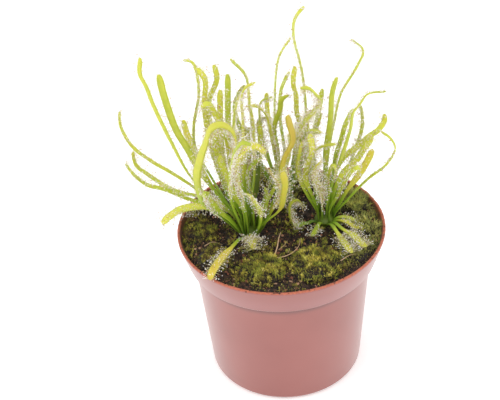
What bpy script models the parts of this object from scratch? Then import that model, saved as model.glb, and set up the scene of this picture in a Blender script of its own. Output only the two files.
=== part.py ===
"""Potted sundew: a tapered nursery pot, its growing mix, moss and three rosettes of strap leaves.

The origin is the centre of the pot's underside and +Z is up. The side seen first is -Y.
Sizes below are in millimetres and become metres when a mesh is made.
"""

import math

import bmesh
import bpy
import numpy as np

MM = 0.001
GAP = 0.3

# Pot: a standard 9 cm nursery pot, one moulded wall with a flared band below the rim
RIM_RADIUS = 45.0
POT_HEIGHT = 71.2
BAND_HEIGHT = 13.8
BAND_FOOT = POT_HEIGHT - BAND_HEIGHT
BAND_FOOT_RADIUS = 41.0
SHELF = 1.2
BODY_TOP_RADIUS = 38.6
BASE_RADIUS = 33.9
WALL = 1.2
FLOOR_TOP = 2.4
RECESS_INNER = 21.0
RECESS_OUTER = 31.0
RECESS_DEPTH = 1.1
DRAIN_RADIUS = 3.0
DRAIN_CIRCLE = 26.0
DRAIN_COUNT = 8
POT_SIDES = 60

# Growing mix: its top lies a little below the rim, with a plain hole for each crown's stem
GROUND = 68.2
GROUND_RINGS = (5.0, 10.0, 15.0, 20.0, 25.0, 30.0, 34.5, 39.0)
GROUND_SIDES = 44
GROUND_SWAY = 0.6
STEM_RADIUS = 3.0
STEM_DEPTH = 9.0

# Crowns: where each rosette stands, as x and y
CROWNS = {"left": (-13.5, -2.0), "right": (19.0, 5.0), "rear": (2.0, 21.0)}
CROWN_RADIUS = 4.5
ROOT_SPREAD = 3.4
ROOT_RISE = 1.4

# Moss cushions: name, x, y, radius and thickness
MOSS = (
    ("moss_front_right", 14.0, -25.0, 10.5, 2.0),
    ("moss_front_left", -8.5, -27.0, 9.0, 1.8),
    ("moss_right_front", 31.5, -17.0, 6.5, 1.6),
    ("moss_right", 35.0, -2.0, 5.0, 1.2),
    ("moss_right_rear", 31.0, 16.0, 8.0, 1.6),
    ("moss_left_front", -28.5, -18.0, 7.5, 1.3),
    ("moss_left", -34.0, 1.0, 6.0, 1.3),
    ("moss_rear_left", -26.0, 21.0, 9.0, 1.7),
    ("moss_rear", -6.0, 35.0, 5.5, 1.4),
    ("moss_rear_right", 16.0, 33.5, 7.0, 1.6),
)
MOSS_SIDES = 12
MOSS_REACH = 41.0
MOSS_LIFT = 2 * GAP
MOSS_PROFILE = ((0.5, 0.0), (0.93, 0.0), (1.0, 0.5), (0.82, 0.9), (0.45, 1.05))

# Leaves: a narrow stalk, then the blade, which ends in a long rounded tip
STALK_WIDTH = 1.8
LEAF_TOP = 0.2
LEAF_KEEL = 0.7
TIP_SHARE = 1.1
OVER_MOSS = 3.5
OVER_RIM = 1.6
SPIKE_LENGTH = 2.3
SPIKE_ROOT = 0.42
SECTION_STEP = 11.0
SECTION_BEND = 25.0
CLEARANCE = 1.8
CROWDED = 17.0

# Each leaf: crown, heading in degrees from +X, lean of its plane towards +Y, twist that turns its sticky
# face to the front and the twist that is left at its tip, blade width, the share of its length that is
# bare stalk, and the midrib's points as (reach, height) above the crown
LEAVES = (
    ("left", 172, 8, 10, 10, 2.4, 0.42, ((20, 20), (32, 29), (40, 34), (48, 41), (52, 50), (52, 57))),
    ("left", 165, 5, 12, 12, 2.4, 0.42, ((19, 16), (31, 18), (38, 21), (44, 25), (49, 29), (50, 36))),
    ("left", 190, 0, 12, 12, 2.5, 0.42, ((18, 20), (25, 24), (35, 31), (41, 34), (46, 40), (49, 46))),
    ("left", 165, -10, 50, 50, 3.6, 0.4, ((10, 11), (19, 15), (25, 14), (31, 11), (36, 6), (40, 1))),
    ("left", 180, 5, -40, -50, 2.8, 0.42, ((14, 17), (24, 32), (30, 47), (36, 65), (38, 73), (40, 79), (39, 86))),
    ("left", 188, 10, -65, -65, 3.7, 0.35, ((7, 13), (18, 30), (24, 44), (28, 53), (32, 70), (33, 78))),
    ("left", 155, 18, 50, 50, 3.0, 0.42, ((7, 8), (17, 18), (24, 29), (26, 36), (28, 41), (29, 46))),
    ("left", 173, 27, 20, 20, 2.4, 0.42, ((8, 12), (15, 24), (22, 38), (22, 47), (19, 62), (21, 74), (25, 75))),
    ("left", 178, 15, 55, 55, 2.9, 0.42, ((7, 14), (12, 30), (15, 45), (16, 60), (15, 70), (18, 75))),
    ("left", 180, 31, 60, 60, 2.9, 0.42, ((3, 13), (10, 28), (14, 43), (15, 58), (11, 68), (12, 74))),
    ("left", 180, 9, 60, 40, 3.2, 0.42, ((3, 10), (5, 20), (6, 31), (8, 49), (11, 56), (14, 62), (17, 61))),
    (
        *("left", 190, -12, -50, -5, 4.2, 0.14),
        ((9, 11), (15, 19), (19, 25), (20, 33), (20, 42), (18, 51), (15, 60), (12, 68), (8, 69), (4, 65), (3, 57), (5, 50)),
    ),
    ("left", 180, 14, 65, 65, 3.0, 0.42, ((4, 15), (9, 31), (10, 46), (9, 66))),
    ("left", 180, 25, -65, -65, 3.2, 0.42, ((2, 12), (5, 25), (7, 44), (6, 70))),
    ("left", 180, 3, 60, 10, 3.4, 0.42, ((0, 9), (1, 20), (1, 36), (0, 58), (0, 67), (-2, 72), (-6, 74))),
    ("left", 180, -7, 25, 25, 2.4, 0.42, ((1, 10), (2, 27), (4, 48), (3, 66), (1, 76))),
    ("left", 0, 8, 25, 25, 2.4, 0.42, ((1, 15), (3, 27), (4, 41), (4, 54), (3, 62), (3, 69))),
    ("left", 0, -5, -60, -60, 3.2, 0.42, ((8, 13), (13, 25), (16, 41), (20, 51), (19, 59), (18, 64))),
    ("left", 0, -24, -65, -65, 3.4, 0.42, ((4, 6), (8, 13), (12, 19), (14, 23), (15, 31), (16, 42), (15, 52))),
    ("left", 0, -12, 30, 30, 2.7, 0.42, ((6, 6), (10, 16), (14, 24), (13, 33), (11, 37), (10, 41))),
    ("left", 0, 17, -70, -70, 4.0, 0.42, ((1, 6), (2, 12), (4, 27), (5, 38))),
    ("left", 180, -27, 40, 40, 2.6, 0.42, ((7, 14), (12, 26), (15, 37), (16, 42), (17, 37))),
    ("left", -116, 0, 0, 0, 4.0, 0.45, ((10, 5), (17, 6), (24, 7), (31, 7), (36, 6), (38, 3))),
    ("left", -85, 0, 0, 0, 3.7, 0.42, ((4, 4), (8, 5), (13, 6), (15, 4))),
    ("left", 138, 0, 30, 30, 3.4, 0.42, ((6, 5), (12, 8), (19, 9), (26, 6))),
    ("left", 0, -22, 20, 20, 3.2, 0.3, ((-1, 17), (-2, 35), (-3, 52), (-1, 61), (2, 67), (5, 68), (9, 63))),
    ("left", 180, -3, 60, 60, 3.0, 0.42, ((3, 9), (8, 27), (11, 45), (12, 58))),
    ("left", 180, -28, 8, 8, 2.2, 0.42, ((4, 15), (6, 33), (6, 50), (4, 69), (2, 79), (-1, 84), (-4, 82))),
    ("left", 0, -2, 15, 15, 2.2, 0.42, ((2, 13), (2, 22), (1, 29), (1, 34), (3, 38), (7, 41))),
    ("left", 180, -10, 60, 60, 3.0, 0.42, ((2, 15), (5, 25), (7, 34), (9, 42), (10, 49))),
    ("left", 0, -31, 60, 60, 2.9, 0.42, ((5, 15), (5, 28), (3, 40), (1, 46))),
    ("left", 0, -10, 40, 40, 2.4, 0.42, ((5, 11), (8, 20), (8, 29))),
    ("rear", 180, 5, 15, 15, 2.4, 0.42, ((4, 8), (8, 17), (12, 33), (13, 49), (14, 63), (20, 71))),
    ("rear", 180, -10, -20, -20, 3.4, 0.42, ((1, 11), (2, 24), (4, 37), (5, 48), (7, 55), (10, 58), (14, 58))),
    ("rear", 0, 3, -55, -55, 3.2, 0.42, ((-1, 12), (-2, 27), (-3, 38), (0, 47), (1, 52), (4, 54))),
    ("rear", 0, 22, 15, 15, 2.4, 0.42, ((-2, 12), (-3, 26), (-2, 48), (-1, 58), (1, 66), (6, 73))),
    ("rear", 0, 12, 20, 20, 2.8, 0.42, ((3, 8), (8, 20), (11, 39), (10, 61), (7, 77), (8, 84), (12, 89))),
    ("rear", 0, 2, 50, 50, 2.9, 0.42, ((3, 12), (6, 25), (8, 39), (7, 47), (7, 54), (6, 60), (7, 68))),
    ("rear", 180, 12, 10, 10, 2.4, 0.42, ((3, 11), (6, 22), (9, 38), (8, 48), (3, 50))),
    ("rear", 0, 30, 30, 30, 3.0, 0.42, ((0, 12), (1, 24), (0, 38), (1, 50), (5, 58))),
    ("rear", 0, 25, 45, 45, 3.0, 0.42, ((5, 9), (10, 19), (15, 32), (18, 44), (19, 50))),
    ("rear", 0, -16, 35, 35, 3.2, 0.42, ((3, 9), (6, 20), (8, 32), (8, 43))),
    ("rear", 0, -20, 15, 15, 2.7, 0.42, ((2, 14), (4, 30), (6, 45), (9, 57), (13, 64), (16, 71), (14, 76), (11, 80), (8, 80))),
    ("right", 0, 12, -65, -45, 3.7, 0.38, ((1, 13), (1, 25), (2, 34), (4, 48), (5, 59), (7, 66))),
    ("right", 0, 22, 15, 15, 2.4, 0.42, ((1, 14), (3, 32), (6, 45), (9, 56), (16, 67), (19, 74), (14, 79))),
    ("right", 10, 0, -50, -35, 3.5, 0.38, ((2, 12), (5, 26), (8, 33), (12, 47), (13, 54), (16, 58), (19, 62), (27, 62))),
    ("right", 14, 12, 40, 40, 2.9, 0.42, ((3, 12), (6, 23), (10, 29), (17, 33), (21, 36), (25, 38), (28, 42), (28, 45))),
    ("right", 4, 0, 60, 60, 3.3, 0.5, ((4, 5), (7, 10), (10, 16), (14, 22), (18, 29), (21, 36))),
    ("right", -12, 0, 8, 8, 2.2, 0.42, ((5, 6), (10, 13), (15, 20), (20, 26), (26, 32), (30, 41), (28, 46), (24, 49))),
    ("right", 0, -20, 10, 10, 2.4, 0.42, ((2, 9), (5, 19), (8, 29), (12, 39), (14, 40), (14, 37))),
    ("right", 25, 1, 45, 45, 3.0, 0.42, ((3, 8), (6, 17), (10, 23), (16, 27), (20, 32), (24, 36))),
    ("right", 180, 17, 40, 40, 2.7, 0.42, ((1, 10), (2, 19), (4, 31), (4, 38), (2, 43), (0, 49))),
    ("right", 180, -14, 60, 60, 3.2, 0.42, ((3, 10), (6, 21), (8, 31), (7, 39), (5, 47), (6, 57))),
    ("right", 180, -6, 50, 50, 2.4, 0.42, ((3, 6), (7, 16), (10, 25), (11, 33), (10, 40), (9, 46))),
    ("right", 180, -19, 30, 30, 3.0, 0.3, ((1, 8), (1, 17), (2, 26), (4, 33), (4, 40), (2, 44))),
    ("right", 0, -9, 20, 20, 2.4, 0.42, ((1, 10), (2, 20), (2, 29), (4, 34), (5, 31), (4, 26))),
    ("right", 5, 33, 40, 40, 3.2, 0.42, ((2, 7), (5, 22), (7, 30), (9, 35), (11, 41), (15, 48))),
    ("right", -22, 0, 0, 0, 2.2, 0.42, ((6, 4), (10, 5), (15, 4))),
    ("right", -37, 0, 0, 0, 2.7, 0.42, ((7, 4), (12, 5), (15, 4), (18, 4))),
    ("right", -70, 0, 0, 0, 3.4, 0.5, ((8, 4), (15, 4), (22, 4), (29, 4))),
    ("right", -56, 0, 0, 0, 3.6, 0.5, ((7, 4), (13, 4), (20, 5), (25, 4), (29, 4))),
    ("right", -112, 0, 0, 0, 2.4, 0.42, ((6, 4), (12, 4), (16, 4))),
    ("right", 207, 0, 15, 15, 3.0, 0.2, ((6, 3), (11, 2), (15, 5), (17, 11), (16, 17), (13, 17), (11, 13))),
)

# Further leaves behind and among these follow a rule with seeded draws
FILL_SEED = 29
FILL_COUNT = 18
FILL_TRIES = 420


def clear_scene():
    for item in list(bpy.data.objects):
        bpy.data.objects.remove(item, do_unlink=True)


def material(name, colour, roughness):
    made = bpy.data.materials.new(name)
    made.use_nodes = True
    shader = made.node_tree.nodes["Principled BSDF"]
    shader.inputs["Base Color"].default_value = (*colour, 1.0)
    shader.inputs["Roughness"].default_value = roughness
    shader.inputs["Metallic"].default_value = 0.0
    return made


def mesh_object(name, points, faces, look):
    """An object from points in millimetres, with every face turned outward."""
    mesh = bpy.data.meshes.new(name)
    mesh.from_pydata([(x * MM, y * MM, z * MM) for x, y, z in points], [], faces)
    shell = bmesh.new()
    shell.from_mesh(mesh)
    bmesh.ops.recalc_face_normals(shell, faces=shell.faces)
    shell.to_mesh(mesh)
    shell.free()
    mesh.shade_smooth()
    mesh.set_sharp_from_angle(angle=math.radians(35))
    mesh.materials.append(look)
    made = bpy.data.objects.new(name, mesh)
    bpy.context.scene.collection.objects.link(made)
    return made


def skin(first, rings, last):
    """Points and faces of a closed shape over rings of points, from one end point to the other."""
    points = [first, *(point for ring in rings for point in ring), last]
    sides = len(rings[0])
    end = len(points) - 1
    top = end - sides
    faces = []
    for step in range(sides):
        after = (step + 1) % sides
        faces.append((0, 1 + after, 1 + step))
        faces.append((top + step, top + after, end))
        for low in range(1, top, sides):
            high = low + sides
            faces.append((low + step, low + after, high + after))
            faces.append((low + step, high + after, high + step))
    return points, faces


def circle(radius, height, sides, centre=(0.0, 0.0)):
    """Points round a level circle."""
    angles = [2 * math.pi * step / sides for step in range(sides)]
    x, y = centre
    return [(x + radius * math.cos(angle), y + radius * math.sin(angle), height) for angle in angles]


def turned(profile, sides, centre=(0.0, 0.0)):
    """A profile of (radius, height) turned about a vertical axis; both ends lie on that axis."""
    rings = [circle(radius, height, sides, centre) for radius, height in profile[1:-1]]
    return skin((*centre, profile[0][1]), rings, (*centre, profile[-1][1]))


def applied(item):
    """Replaces the object's mesh by what its modifiers make of it."""
    graph = bpy.context.evaluated_depsgraph_get()
    result = bpy.data.meshes.new_from_object(item.evaluated_get(graph))
    item.modifiers.clear()
    item.data = result


def boolean(item, others, operation, solver="EXACT"):
    """Joins to or cuts from the object all the others at once, then removes them."""
    holder = bpy.data.collections.new(item.name + "_tools")
    for other in others:
        holder.objects.link(other)
    step = item.modifiers.new("join", "BOOLEAN")
    step.operation = operation
    step.operand_type = "COLLECTION"
    step.collection = holder
    step.solver = solver
    bpy.context.view_layer.update()
    applied(item)
    for other in others:
        bpy.data.objects.remove(other, do_unlink=True)
    bpy.data.collections.remove(holder)


def keep_largest(item):
    """Drops loose scraps and the skins of sealed hollows, and keeps the one main body."""
    shell = bmesh.new()
    shell.from_mesh(item.data)
    left = set(shell.verts)
    bodies = []
    while left:
        seed = left.pop()
        body = {seed}
        reached = [seed]
        while reached:
            point = reached.pop()
            for edge in point.link_edges:
                other = edge.other_vert(point)
                if other in left:
                    left.remove(other)
                    body.add(other)
                    reached.append(other)
        bodies.append(body)
    bodies.sort(key=len, reverse=True)
    spare = [point for body in bodies[1:] for point in body]
    bmesh.ops.delete(shell, geom=spare, context="VERTS")
    shell.to_mesh(item.data)
    shell.free()
    return len(bodies) - 1


# Pot


def band_radius(height):
    """The outer radius of the band at a height."""
    return BAND_FOOT_RADIUS + (RIM_RADIUS - BAND_FOOT_RADIUS) * (height - BAND_FOOT) / BAND_HEIGHT


def inner_radius(height):
    """The radius of the pot's inside at a height."""
    if height >= BAND_FOOT + SHELF:
        return band_radius(height) - WALL
    return BASE_RADIUS + (BODY_TOP_RADIUS - BASE_RADIUS) * height / BAND_FOOT - WALL


def make_pot(look):
    """The moulded pot: one wall, a recessed ring under its floor and drain holes through that."""
    shelf = BAND_FOOT + SHELF
    profile = (
        (0.0, 0.0),
        (RECESS_INNER - 0.8, 0.0),
        (RECESS_INNER, RECESS_DEPTH),
        (RECESS_OUTER, RECESS_DEPTH),
        (RECESS_OUTER + 0.8, 0.0),
        (BASE_RADIUS - 1.3, 0.0),
        (BASE_RADIUS - 0.3, 0.5),
        (BASE_RADIUS, 1.6),
        (BODY_TOP_RADIUS, BAND_FOOT - 0.4),
        (BODY_TOP_RADIUS + 0.5, BAND_FOOT),
        (BAND_FOOT_RADIUS - 0.6, BAND_FOOT),
        (BAND_FOOT_RADIUS + 0.1, BAND_FOOT + 0.7),
        (RIM_RADIUS, POT_HEIGHT - 0.5),
        (RIM_RADIUS - 0.2, POT_HEIGHT),
        (RIM_RADIUS - WALL + 0.1, POT_HEIGHT),
        (band_radius(shelf) - WALL, shelf),
        (inner_radius(shelf - 0.6), shelf - 0.6),
        (inner_radius(FLOOR_TOP + 0.8), FLOOR_TOP + 0.8),
        (BASE_RADIUS - 2.2, FLOOR_TOP),
        (0.0, FLOOR_TOP),
    )
    pot = mesh_object("pot", *turned(profile, POT_SIDES), look)
    drains = []
    for hole in range(DRAIN_COUNT):
        angle = 2 * math.pi * (hole + 0.5) / DRAIN_COUNT
        centre = (DRAIN_CIRCLE * math.cos(angle), DRAIN_CIRCLE * math.sin(angle))
        rod = ((0.0, -2.0), (DRAIN_RADIUS, -2.0), (DRAIN_RADIUS, 5.0), (0.0, 5.0))
        drains.append(mesh_object(f"drain_{hole}", *turned(rod, 10, centre), look))
    boolean(pot, drains, "DIFFERENCE")
    pot.data.set_sharp_from_angle(angle=math.radians(35))
    return pot


# Growing mix and moss


def ease(low, high, value):
    """0 below low, 1 above high, smooth between."""
    share = min(1.0, max(0.0, (value - low) / (high - low)))
    return share * share * (3 - 2 * share)


def ground_height(x, y):
    """The top of the growing mix: uneven, higher to the left and rear, level round each crown."""
    height = GROUND + 0.7 * ease(-10, 38, y) + 0.7 * ease(5, 40, -x)
    height += 0.42 * math.sin(0.31 * x + 1.3) * math.sin(0.27 * y + 0.4)
    height += 0.18 * math.sin(0.53 * x - 0.7 + 0.4 * math.sin(0.2 * y)) * math.cos(0.47 * y + 1.1)
    for crown_x, crown_y in CROWNS.values():
        away = math.hypot(x - crown_x, y - crown_y)
        height += (GROUND - 0.2 - height) * (1 - ease(7, 14, away))
    return height


def ground_ring(radius, sway):
    """Points of the ground's top round a circle that sways in and out a little."""
    points = []
    for x, y, _ in circle(1.0, 0.0, GROUND_SIDES):
        reach = radius + sway * math.sin(2.3 * radius + 5 * math.atan2(y, x))
        points.append((reach * x, reach * y, ground_height(reach * x, reach * y)))
    return points


def make_growing_mix(look):
    """The plug of growing mix: an uneven top, sides that follow the pot's inside, and stem holes."""
    shelf = BAND_FOOT + SHELF + GAP
    floor = FLOOR_TOP + GAP
    inside = 1.4 * GAP
    rings = [ground_ring(radius, GROUND_SWAY) for radius in GROUND_RINGS]
    rings.append(circle(inner_radius(GROUND) - GAP, GROUND - 0.2, GROUND_SIDES))
    rings.append(circle(inner_radius(shelf) - inside, shelf, GROUND_SIDES))
    rings.append(circle(inner_radius(BAND_FOOT) - inside, shelf - 0.1, GROUND_SIDES))
    rings.append(circle(inner_radius(floor + 0.9) - inside, floor + 0.9, GROUND_SIDES))
    rings.append(circle(BASE_RADIUS - 2.8, floor, GROUND_SIDES))
    middle = (0.0, 0.0, ground_height(0.0, 0.0))
    mix = mesh_object("growing_mix", *skin(middle, rings, (0.0, 0.0, floor)), look)
    holes = []
    for name, centre in CROWNS.items():
        low = GROUND - STEM_DEPTH - 2 * GAP
        radius = STEM_RADIUS + GAP
        rod = ((0.0, low), (radius, low), (radius, GROUND + 6), (0.0, GROUND + 6))
        holes.append(mesh_object("hole_" + name, *turned(rod, 12, centre), look))
    boolean(mix, holes, "DIFFERENCE")
    return mix


def moss_ring(x, y, radius, thickness, share, rise):
    """One ring of a cushion: a share of its uneven outline, raised by a share of its thickness."""
    points = []
    for step in range(MOSS_SIDES):
        angle = 2 * math.pi * step / MOSS_SIDES
        reach = radius * share * (1 + 0.07 * math.sin(3 * angle + x) + 0.04 * math.sin(5 * angle + y))
        px = x + reach * math.cos(angle)
        py = y + reach * math.sin(angle)
        inside = min(1.0, MOSS_REACH / math.hypot(px, py))
        px *= inside
        py *= inside
        bump = 1 + 0.14 * math.sin(1.9 * px + 0.7 * py) * (rise > 0.6)
        points.append((px, py, ground_height(px, py) + MOSS_LIFT + thickness * rise * bump))
    return points


def make_moss(name, x, y, radius, thickness, look):
    """A low domed cushion with an uneven outline, which lies a small gap above the ground."""
    level = ground_height(x, y) + MOSS_LIFT
    rings = [moss_ring(x, y, radius, thickness, share, rise) for share, rise in MOSS_PROFILE]
    return mesh_object(name, *skin((x, y, level), rings, (x, y, level + thickness)), look)


# Leaves


def catmull_rom(points, per_span=14):
    """A smooth run of points through the given ones."""
    control = [np.array(point, float) for point in points]
    control = [2 * control[0] - control[1], *control, 2 * control[-1] - control[-2]]
    run = []
    for index in range(1, len(control) - 2):
        a, b, c, d = control[index - 1 : index + 3]
        knots = [0.0]
        for one, two in ((a, b), (b, c), (c, d)):
            knots.append(knots[-1] + math.sqrt(max(1e-6, float(np.linalg.norm(two - one)))))
        t0, t1, t2, t3 = knots
        for part in range(per_span):
            t = t1 + (t2 - t1) * part / per_span
            a1 = (t1 - t) / (t1 - t0) * a + (t - t0) / (t1 - t0) * b
            a2 = (t2 - t) / (t2 - t1) * b + (t - t1) / (t2 - t1) * c
            a3 = (t3 - t) / (t3 - t2) * c + (t - t2) / (t3 - t2) * d
            b1 = (t2 - t) / (t2 - t0) * a1 + (t - t0) / (t2 - t0) * a2
            b2 = (t3 - t) / (t3 - t1) * a2 + (t - t1) / (t3 - t1) * a3
            run.append((t2 - t) / (t2 - t1) * b1 + (t - t1) / (t2 - t1) * b2)
    run.append(control[-2])
    return np.array(run)


def rest_height(x, y):
    """The lowest height for a midrib: clear of the moss inside the pot and of the rim above it."""
    radius = math.hypot(x, y)
    inward = min(1.0, 38 / max(radius, 1))
    inside = ground_height(inward * x, inward * y) + OVER_MOSS
    over = POT_HEIGHT + OVER_RIM
    if radius < 41:
        return inside + (over - inside) * ease(35, 41, radius)
    return over if radius < 48 else 0.0


def midrib(crown, heading, lean, points):
    """The leaf's midrib in space, with the directions of its reach and of its rise."""
    out = np.array([math.cos(math.radians(heading)), math.sin(math.radians(heading)), 0.0])
    rise = np.array([0.0, math.sin(math.radians(lean)), math.cos(math.radians(lean))])
    base = np.array([*CROWNS[crown], GROUND])
    control = [base + reach * out + height * rise for reach, height in points]
    away = np.array([control[0][0] - base[0], control[0][1] - base[1], 0.0])
    spread = ROOT_SPREAD * away / max(ROOT_SPREAD, float(np.linalg.norm(away)))
    run = catmull_rom([base + spread + np.array([0.0, 0.0, ROOT_RISE]), *control])
    for index, (x, y, z) in enumerate(run):
        away = math.hypot(x - base[0], y - base[1])
        # Within its crown a leaf may lie lower, down to its root
        sunk = 3.0 * (1 - ease(5, 10, away)) + 90 * (1 - ease(3, 5, away))
        run[index, 2] = max(z, rest_height(x, y) - sunk)
    return run, out, rise


def half_width(place, length, width, stalk):
    """Half the leaf's width: a narrow stalk, a long blade and a rounded tip."""
    share = place / length
    wide = STALK_WIDTH + (width - STALK_WIDTH) * ease(stalk - 0.08, stalk + 0.14, share)
    wide *= 1 + 0.25 * (1 - ease(0.0, 0.12, share))
    left = length - place
    tip = TIP_SHARE * width
    if left < tip:
        wide *= math.sqrt(max(0.0, 1 - (1 - left / tip) ** 2))
    return wide / 2


class Blade:
    """A leaf's midrib with its frame: the tangent, the width and the way that the sticky face looks."""

    def __init__(self, crown, heading, lean, twist, tip_twist, width, stalk, points):
        run, out, rise = midrib(crown, heading, lean, points)
        self.crown = crown
        self.run = run
        self.width = width
        self.stalk = stalk
        self.along = np.concatenate([[0.0], np.cumsum(np.linalg.norm(np.diff(run, axis=0), axis=1))])
        self.length = self.along[-1]
        self.tangents = np.gradient(run, self.along, axis=0)
        self.tangents /= np.linalg.norm(self.tangents, axis=1)[:, None]
        self.out = out
        self.rise = rise
        self.twist = math.radians(twist)
        self.untwist = math.radians(tip_twist - twist)
        side = np.cross(out, rise)
        side /= np.linalg.norm(side)
        self.side = -side if side[1] > 0 else side

    def section(self, place):
        """Midrib point, width direction, sticky-face direction and half width at a length along the leaf."""
        point = np.array([np.interp(place, self.along, self.run[:, axis]) for axis in range(3)])
        tangent = np.array([np.interp(place, self.along, self.tangents[:, axis]) for axis in range(3)])
        tangent /= np.linalg.norm(tangent)
        across = self.side - tangent * (self.side @ tangent)
        across /= np.linalg.norm(across)
        inner = np.cross(across, tangent)
        if inner @ (self.rise * (tangent @ self.out) - self.out * (tangent @ self.rise)) < 0:
            inner = -inner
        share = place / self.length
        turn = self.twist * ease(0.05, 0.5, share) + self.untwist * ease(0.45, 0.75, share)
        face = inner * math.cos(turn) + across * math.sin(turn)
        wide = across * math.cos(turn) - inner * math.sin(turn)
        return point, wide, face, half_width(place, self.length, self.width, self.stalk)

    def samples(self, root):
        """Points over the blade past its root, to keep leaves apart."""
        spots = []
        for place in np.arange(root, self.length, 1.2):
            point, wide, _, half = self.section(place)
            spots += [point - wide * half, point, point + wide * half]
        return np.array(spots).reshape(-1, 3)

    def places(self):
        """Where the sections go: closer together where the leaf bends."""
        bends = np.linalg.norm(np.diff(self.tangents, axis=0), axis=1)
        steps = np.diff(self.along) / SECTION_STEP + bends / math.radians(SECTION_BEND)
        cost = np.concatenate([[0.0], np.cumsum(steps)])
        end = self.length - TIP_SHARE * self.width
        total = np.interp(end, self.along, cost)
        count = int(min(10, max(4, round(total))))
        body = [float(np.interp(total * part / count, cost, self.along)) for part in range(count + 1)]
        return body + [self.length - share * TIP_SHARE * self.width for share in (0.45, 0.12)]


def gap_to(spots, others):
    """The shortest distance between two sets of points."""
    if not len(spots) or not len(others):
        return math.inf
    return float(np.sqrt(((spots[:, None, :] - others[None, :, :]) ** 2).sum(axis=2).min()))


def grown_points(rng):
    """A leaf by rule: it rises from its root, and its tip bends in towards the crown."""
    length = rng.uniform(36, 60)
    start = rng.uniform(52, 80)
    lift = rng.uniform(-4, 18)
    curl = rng.uniform(25, 110)
    reach, height = 0.8, 1.2
    points = []
    steps = 24
    for step in range(1, steps + 1):
        share = step / steps
        angle = math.radians(start + lift * share + curl * ease(0.62, 1.0, share))
        reach += length / steps * math.cos(angle)
        height += length / steps * math.sin(angle)
        if step in (5, 10, 15, 19, 22, 24):
            points.append((reach, height))
    return tuple(points)


def grown_leaves(blades):
    """Further leaves, each kept only where it stands clear of all before it."""
    rng = np.random.default_rng(FILL_SEED)
    clouds = [(blade.crown, blade.samples(CROWDED), blade.samples(5.0)) for blade in blades]
    added = []
    for _ in range(FILL_TRIES):
        crown = ("left", "right", "rear")[int(rng.integers(3))]
        heading = rng.uniform(15, 165)
        width = rng.uniform(2.4, 3.3)
        twist = rng.uniform(-50, 50)
        lean = rng.uniform(-4, 10)
        leaf = Blade(crown, heading, lean, twist, 0.5 * twist, width, 0.4, grown_points(rng))
        near = leaf.samples(CROWDED)
        spots = leaf.samples(5.0)
        gaps = []
        for own, tip, whole in clouds:
            gaps.append(gap_to(near, tip) if own == crown else gap_to(spots, whole))
        if min(gaps) > CLEARANCE:
            clouds.append((crown, near, spots))
            added.append(leaf)
        if len(added) == FILL_COUNT:
            break
    return added


def leaf_shell(leaf, others):
    """Points and faces of one closed leaf, with a few of its sticky hairs as true-length spikes."""
    places = leaf.places()
    points = []
    for place in places:
        point, wide, face, half = leaf.section(place)
        points += [point - wide * half, point + face * LEAF_TOP]
        points += [point + wide * half, point - face * LEAF_KEEL]
    tip = len(points)
    points.append(leaf.section(leaf.length)[0])
    faces = [(0, 1, 2, 3)]
    last = 4 * (len(places) - 1)
    for corner in range(4):
        faces.append((last + corner, last + (corner + 1) % 4, tip))
    for ring in range(len(places) - 1):
        low = 4 * ring
        high = low + 4
        for corner in range(4):
            after = (corner + 1) % 4
            quad = (low + corner, low + after, high + after, high + corner)
            span = places[ring + 1] - places[ring]
            bare = places[ring] < leaf.stalk * leaf.length or span < 2.6 or corner != ring % 2
            facing = leaf.section((places[ring] + places[ring + 1]) / 2)[2]
            if bare or not add_spike(facing, quad, corner, points, faces, others):
                faces.append(quad[:3])
                faces.append((quad[0], quad[2], quad[3]))
    return points, faces


def add_spike(facing, quad, corner, points, faces, others):
    """Raises one spike out of a quarter of the sticky face, near the margin; False where it has no room."""
    q0, q1, q2, q3 = (points[index] for index in quad)
    margin = (q0 + q3) / 2 if corner == 0 else (q1 + q2) / 2
    middle = (q1 + q2) / 2 if corner == 0 else (q0 + q3) / 2
    outward = margin - middle
    half = np.linalg.norm(outward)
    outward /= half
    rise = np.cross(q2 - q0, q3 - q1)
    rise /= np.linalg.norm(rise)
    centre = middle * 0.42 + margin * 0.58
    normal = rise if rise @ facing > 0 else -rise
    aim = outward * 0.62 + normal * 0.78
    apex = centre + aim / np.linalg.norm(aim) * SPIKE_LENGTH
    if apex[2] < rest_height(apex[0], apex[1]) - 1.4:
        return False
    if min(gap_to(apex[None, :], cloud) for cloud in others) < CLEARANCE:
        return False
    run = (q3 - q0) / np.linalg.norm(q3 - q0)
    size = min(SPIKE_ROOT, 0.3 * half)
    start = len(points)
    ahead = centre + run * size * 0.6
    points += [centre - run * size, ahead + outward * size, ahead - outward * size, apex]
    p0, p1, p2, top = start, start + 1, start + 2, start + 3
    if corner == 0:
        p1, p2 = p2, p1
    a, b, c, d = quad
    faces += [(a, b, p0), (b, c, p1), (b, p1, p0), (c, d, p2), (c, p2, p1), (d, a, p2), (a, p0, p2)]
    faces += [(p0, p1, top), (p1, p2, top), (p2, p0, top)]
    return True


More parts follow.
